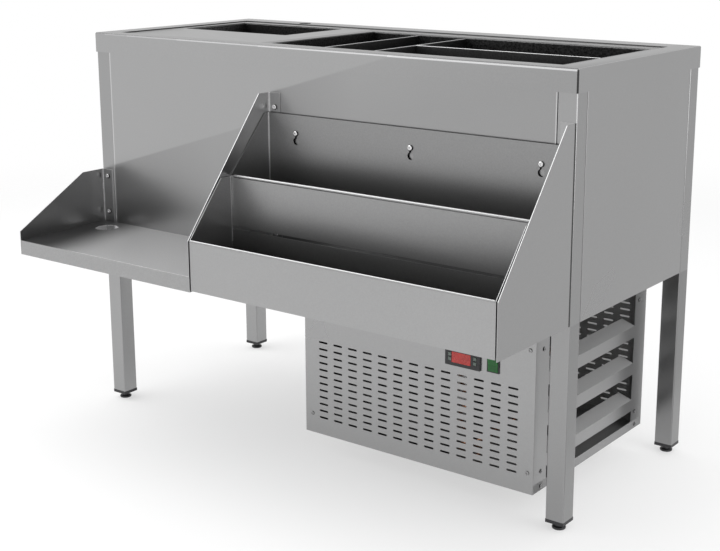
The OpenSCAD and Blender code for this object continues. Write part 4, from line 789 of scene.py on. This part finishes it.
side = np.concatenate([np.ones(9), -np.ones(7)]) * (1 - 0.9 * loopV ** 8)
v = wide[:, None] * loopV[None]
lift = f["camber"] * (1 - loopV[None] ** 2) + side[None] * f["thick"] / 2
blade = np.stack([v * np.cos(pitch)[:, None] - lift * np.sin(pitch)[:, None],
                  v * np.sin(pitch)[:, None] + lift * np.cos(pitch)[:, None] + f["forward"],
                  np.repeat(radial[:, None], len(loopV), axis=1)], axis=-1)
ends = [row.mean(axis=1, keepdims=True).repeat(len(loopV), axis=1) for row in (blade[:1], blade[-1:])]
blade = np.concatenate([ends[0], blade, ends[1]])
fanParts = []
for k in range(f["blades"]):
    a = 2 * math.pi * k / f["blades"]
    spin = np.array([[math.cos(a), 0, math.sin(a)], [0, 1, 0], [-math.sin(a), 0, math.cos(a)]])
    fanParts.append(gridShell(blade @ spin.T + np.array(f["centre"]), around=True))
fanParts.append(turned(f["hub"], f["centre"], "y", 40))
makePiece("fanBlades", fanParts, "fan_blade", angle=40)

# fan motor: a turned can with end rims, and its two studs
motorLook = {"centre": (206.5, 0, 190), "front": -21, "back": 24, "bore": 3.05, "rim": 30, "waist": 29,
             "studs": 18}
m0, m1 = motorLook["front"], motorLook["back"]
bore, rim, waist = motorLook["bore"], motorLook["rim"], motorLook["waist"]
x, y, z = motorLook["centre"]
motorRows = [(bore, m0 - 5), (8.4, m0 - 5), (9, m0 - 4.4), (9, m0), (26, m0), (28.6, m0 + 0.8), (rim, m0 + 2.6),
             (rim, m0 + 12), (waist, m0 + 13), (waist, m1 - 13), (rim, m1 - 12), (rim, m1 - 2.6),
             (28.6, m1 - 0.8), (26, m1), (0, m1), (0, m1 - 11), (bore, m1 - 11)]
can = turned(motorRows, (x, y, z), "y", 48)
motorParts = [gridShell(can[0].reshape(len(motorRows), 48, 3), around=True, along=True)]
studRows = [(0, m1 - 1), (2.5, m1 - 1), (2.5, m1 + 3.6), (2.1, m1 + 4), (0, m1 + 4)]
motorParts += [turned(studRows, (x + s * motorLook["studs"], y, z), "y", 20) for s in (-1, 1)]
makePiece("fanMotorCan", motorParts, "fan_motor", angle=35)


# copper pipes: bent runs through their listed corners
pipeLook = {"radius": 4, "bend": 14, "runs": [
    [(321.5, 129, 70.5), (321.5, 154, 70.5), (361.5, 154, 100.5), (361.5, 200, 190.5), (492, 200, 441),
     (492, 200, 481)],
    [(41.5, -40, 481), (41.5, -40, 456.5), (41.5, 166, 271.5), (141.5, 166, 271.5), (141.5, 166, 241.5)],
    [(201.5, 166, 241.5), (201.5, 166, 261.5), (361.5, 166, 261.5), (361.5, -35, 265.5), (361.5, -63, 265.5),
     (339, -63, 265.5)],
    [(339, -63, 70.5), (361.5, -63, 70.5), (361.5, -21, 70.5), (321.5, -21, 70.5), (321.5, -1, 70.5)],
]}
makePiece("copperPipes", [pipeAlong(run, pipeLook["radius"], pipeLook["bend"]) for run in pipeLook["runs"]],
          "refrigerant_pipes", angle=60)
print("condensing unit made")


# floor and light: a pale floor that fades into a white backdrop, grey cards at the right that the
# metal alone shows, one upright and one on the floor, a dim glowing screen behind the unit that
# paints the shade inside it, and soft lamps
stageLook = {"floorSize": 9.0, "fadeFrom": 2.2, "fadeTo": 3.8, "floorTone": 0.86, "floorGlow": 0.55,
             "worldFill": 0.85, "cardTone": 0.78, "cardPlace": (1.55, 1.75, 0.85), "cardSize": (3.6, 2.2),
             "floorCard": (0.75, 3.6, -0.4, 3.6), "screenShadeTone": 0.21, "lift": 0.0005,
             "screenX": (-0.006, 0.531), "screenY": 0.318, "screenZ": (0.062, 0.392)}


def stagePlane(name, corners, material):
    mesh = bpy.data.meshes.new(name)
    mesh.from_pydata([tuple(c) for c in corners], [], [(0, 1, 2, 3)])
    mesh.materials.append(material)
    plane = bpy.data.objects.new(name, mesh)
    scene.collection.objects.link(plane)


def levelCorners(x0, x1, y0, y1, z):
    return [(x0, y0, z), (x1, y0, z), (x1, y1, z), (x0, y1, z)]


def glowOf(tree, tone=1.0):
    glow = addNode(tree, "ShaderNodeEmission")
    glow.inputs["Color"].default_value = (1, 1, 1, 1)
    glow.inputs["Strength"].default_value = tone
    return glow.outputs[0]


def clearOf(tree):
    return addNode(tree, "ShaderNodeBsdfTransparent").outputs[0]


def mixOf(tree, share, first, second):
    mix = addNode(tree, "ShaderNodeMixShader")
    for socket, source in zip(mix.inputs, (share, first, second)):
        tree.links.new(source, socket)
    return mix


floorMaterial, tree = newMaterial("floorPale")
coords = addNode(tree, "ShaderNodeTexCoord").outputs["Object"]
distance = addNode(tree, "ShaderNodeVectorMath", operation="LENGTH")
tree.links.new(coords, distance.inputs[0])
fade = remap(tree, distance.outputs["Value"], stageLook["fadeFrom"], stageLook["fadeTo"], 0, 1, True)
matte = addNode(tree, "ShaderNodeBsdfDiffuse")
matte.inputs["Color"].default_value = (stageLook["floorTone"],) * 3 + (1,)
rays = addNode(tree, "ShaderNodeLightPath")
seen = mathOf(tree, "MAXIMUM", rays.outputs["Is Camera Ray"], rays.outputs["Is Glossy Ray"])
lit = mixOf(tree, productOf(tree, seen, stageLook["floorGlow"]), matte.outputs[0], glowOf(tree))
finishMaterial(tree, mixOf(tree, fade, lit.outputs[0], clearOf(tree)))
reach = stageLook["floorSize"] / 2
stagePlane("floor", levelCorners(-reach, reach, -reach, reach, -stageLook["lift"]), floorMaterial)

cardMaterial, tree = newMaterial("studioCard")
glossy = addNode(tree, "ShaderNodeLightPath").outputs["Is Glossy Ray"]
finishMaterial(tree, mixOf(tree, glossy, clearOf(tree), glowOf(tree, stageLook["cardTone"])))
place = np.array(stageLook["cardPlace"])
along = np.array((-place[1], place[0], 0)) / np.hypot(place[0], place[1]) * stageLook["cardSize"][0] / 2
up = np.array((0, 0, stageLook["cardSize"][1] / 2))
stagePlane("studioCard", [place - along - up, place + along - up, place + along + up, place - along + up],
           cardMaterial)
stagePlane("floorCard", levelCorners(*stageLook["floorCard"], stageLook["lift"]), cardMaterial)

# the screen stands close behind the unit's back and paints the shade inside the unit: a dim glow
# seen from the front through the slots, clear from behind
screenMaterial, tree = newMaterial("backShadeScreen")
behind = addNode(tree, "ShaderNodeNewGeometry").outputs["Backfacing"]
finishMaterial(tree, mixOf(tree, behind, glowOf(tree, stageLook["screenShadeTone"]), clearOf(tree)))
(x0, x1), y, (z0, z1) = stageLook["screenX"], stageLook["screenY"], stageLook["screenZ"]
stagePlane("backShadeScreen", [(x0, y, z0), (x1, y, z0), (x1, y, z1), (x0, y, z1)], screenMaterial)

world = bpy.data.worlds.new("studio")
scene.world = world
world.use_nodes = True
tree = world.node_tree
tree.nodes.clear()
rays = addNode(tree, "ShaderNodeLightPath")
seen = mathOf(tree, "MAXIMUM", rays.outputs["Is Camera Ray"],
              mathOf(tree, "MAXIMUM", rays.outputs["Is Glossy Ray"], rays.outputs["Is Transmission Ray"]))
back = addNode(tree, "ShaderNodeBackground")
back.inputs["Color"].default_value = (1, 1, 1, 1)
tree.links.new(remap(tree, seen, 0, 1, stageLook["worldFill"], 1), back.inputs["Strength"])
out = addNode(tree, "ShaderNodeOutputWorld")
tree.links.new(back.outputs[0], out.inputs["Surface"])

lamps = {
    "softBox": {"place": (-1.5, -0.8, 2.7), "aim": (0, 0, 0.7), "size": 2.8, "power": 51},
    "frontLamp": {"place": (2.9, -2.2, 0.5), "aim": (0.3, 0, 0.4), "size": 2.2, "power": 10},
    "sideLamp": {"place": (1.75, 0.15, 0.85), "aim": (0.53, 0.1, 0.25), "size": 1.2, "power": 7},
    "topLamp": {"place": (0.2, 0.6, 3.2), "aim": (0, 0, 0.8), "size": 2.2, "power": 18},
}
for name, lamp in lamps.items():
    data = bpy.data.lights.new(name, "AREA")
    data.shape = "DISK"
    data.size = lamp["size"]
    data.energy = lamp["power"]
    item = bpy.data.objects.new(name, data)
    place, aim = np.array(lamp["place"]), np.array(lamp["aim"])
    item.location = place
    item.rotation_euler = Vector(aim - place).to_track_quat("-Z", "Y").to_euler()
    scene.collection.objects.link(item)
print("stage lit")
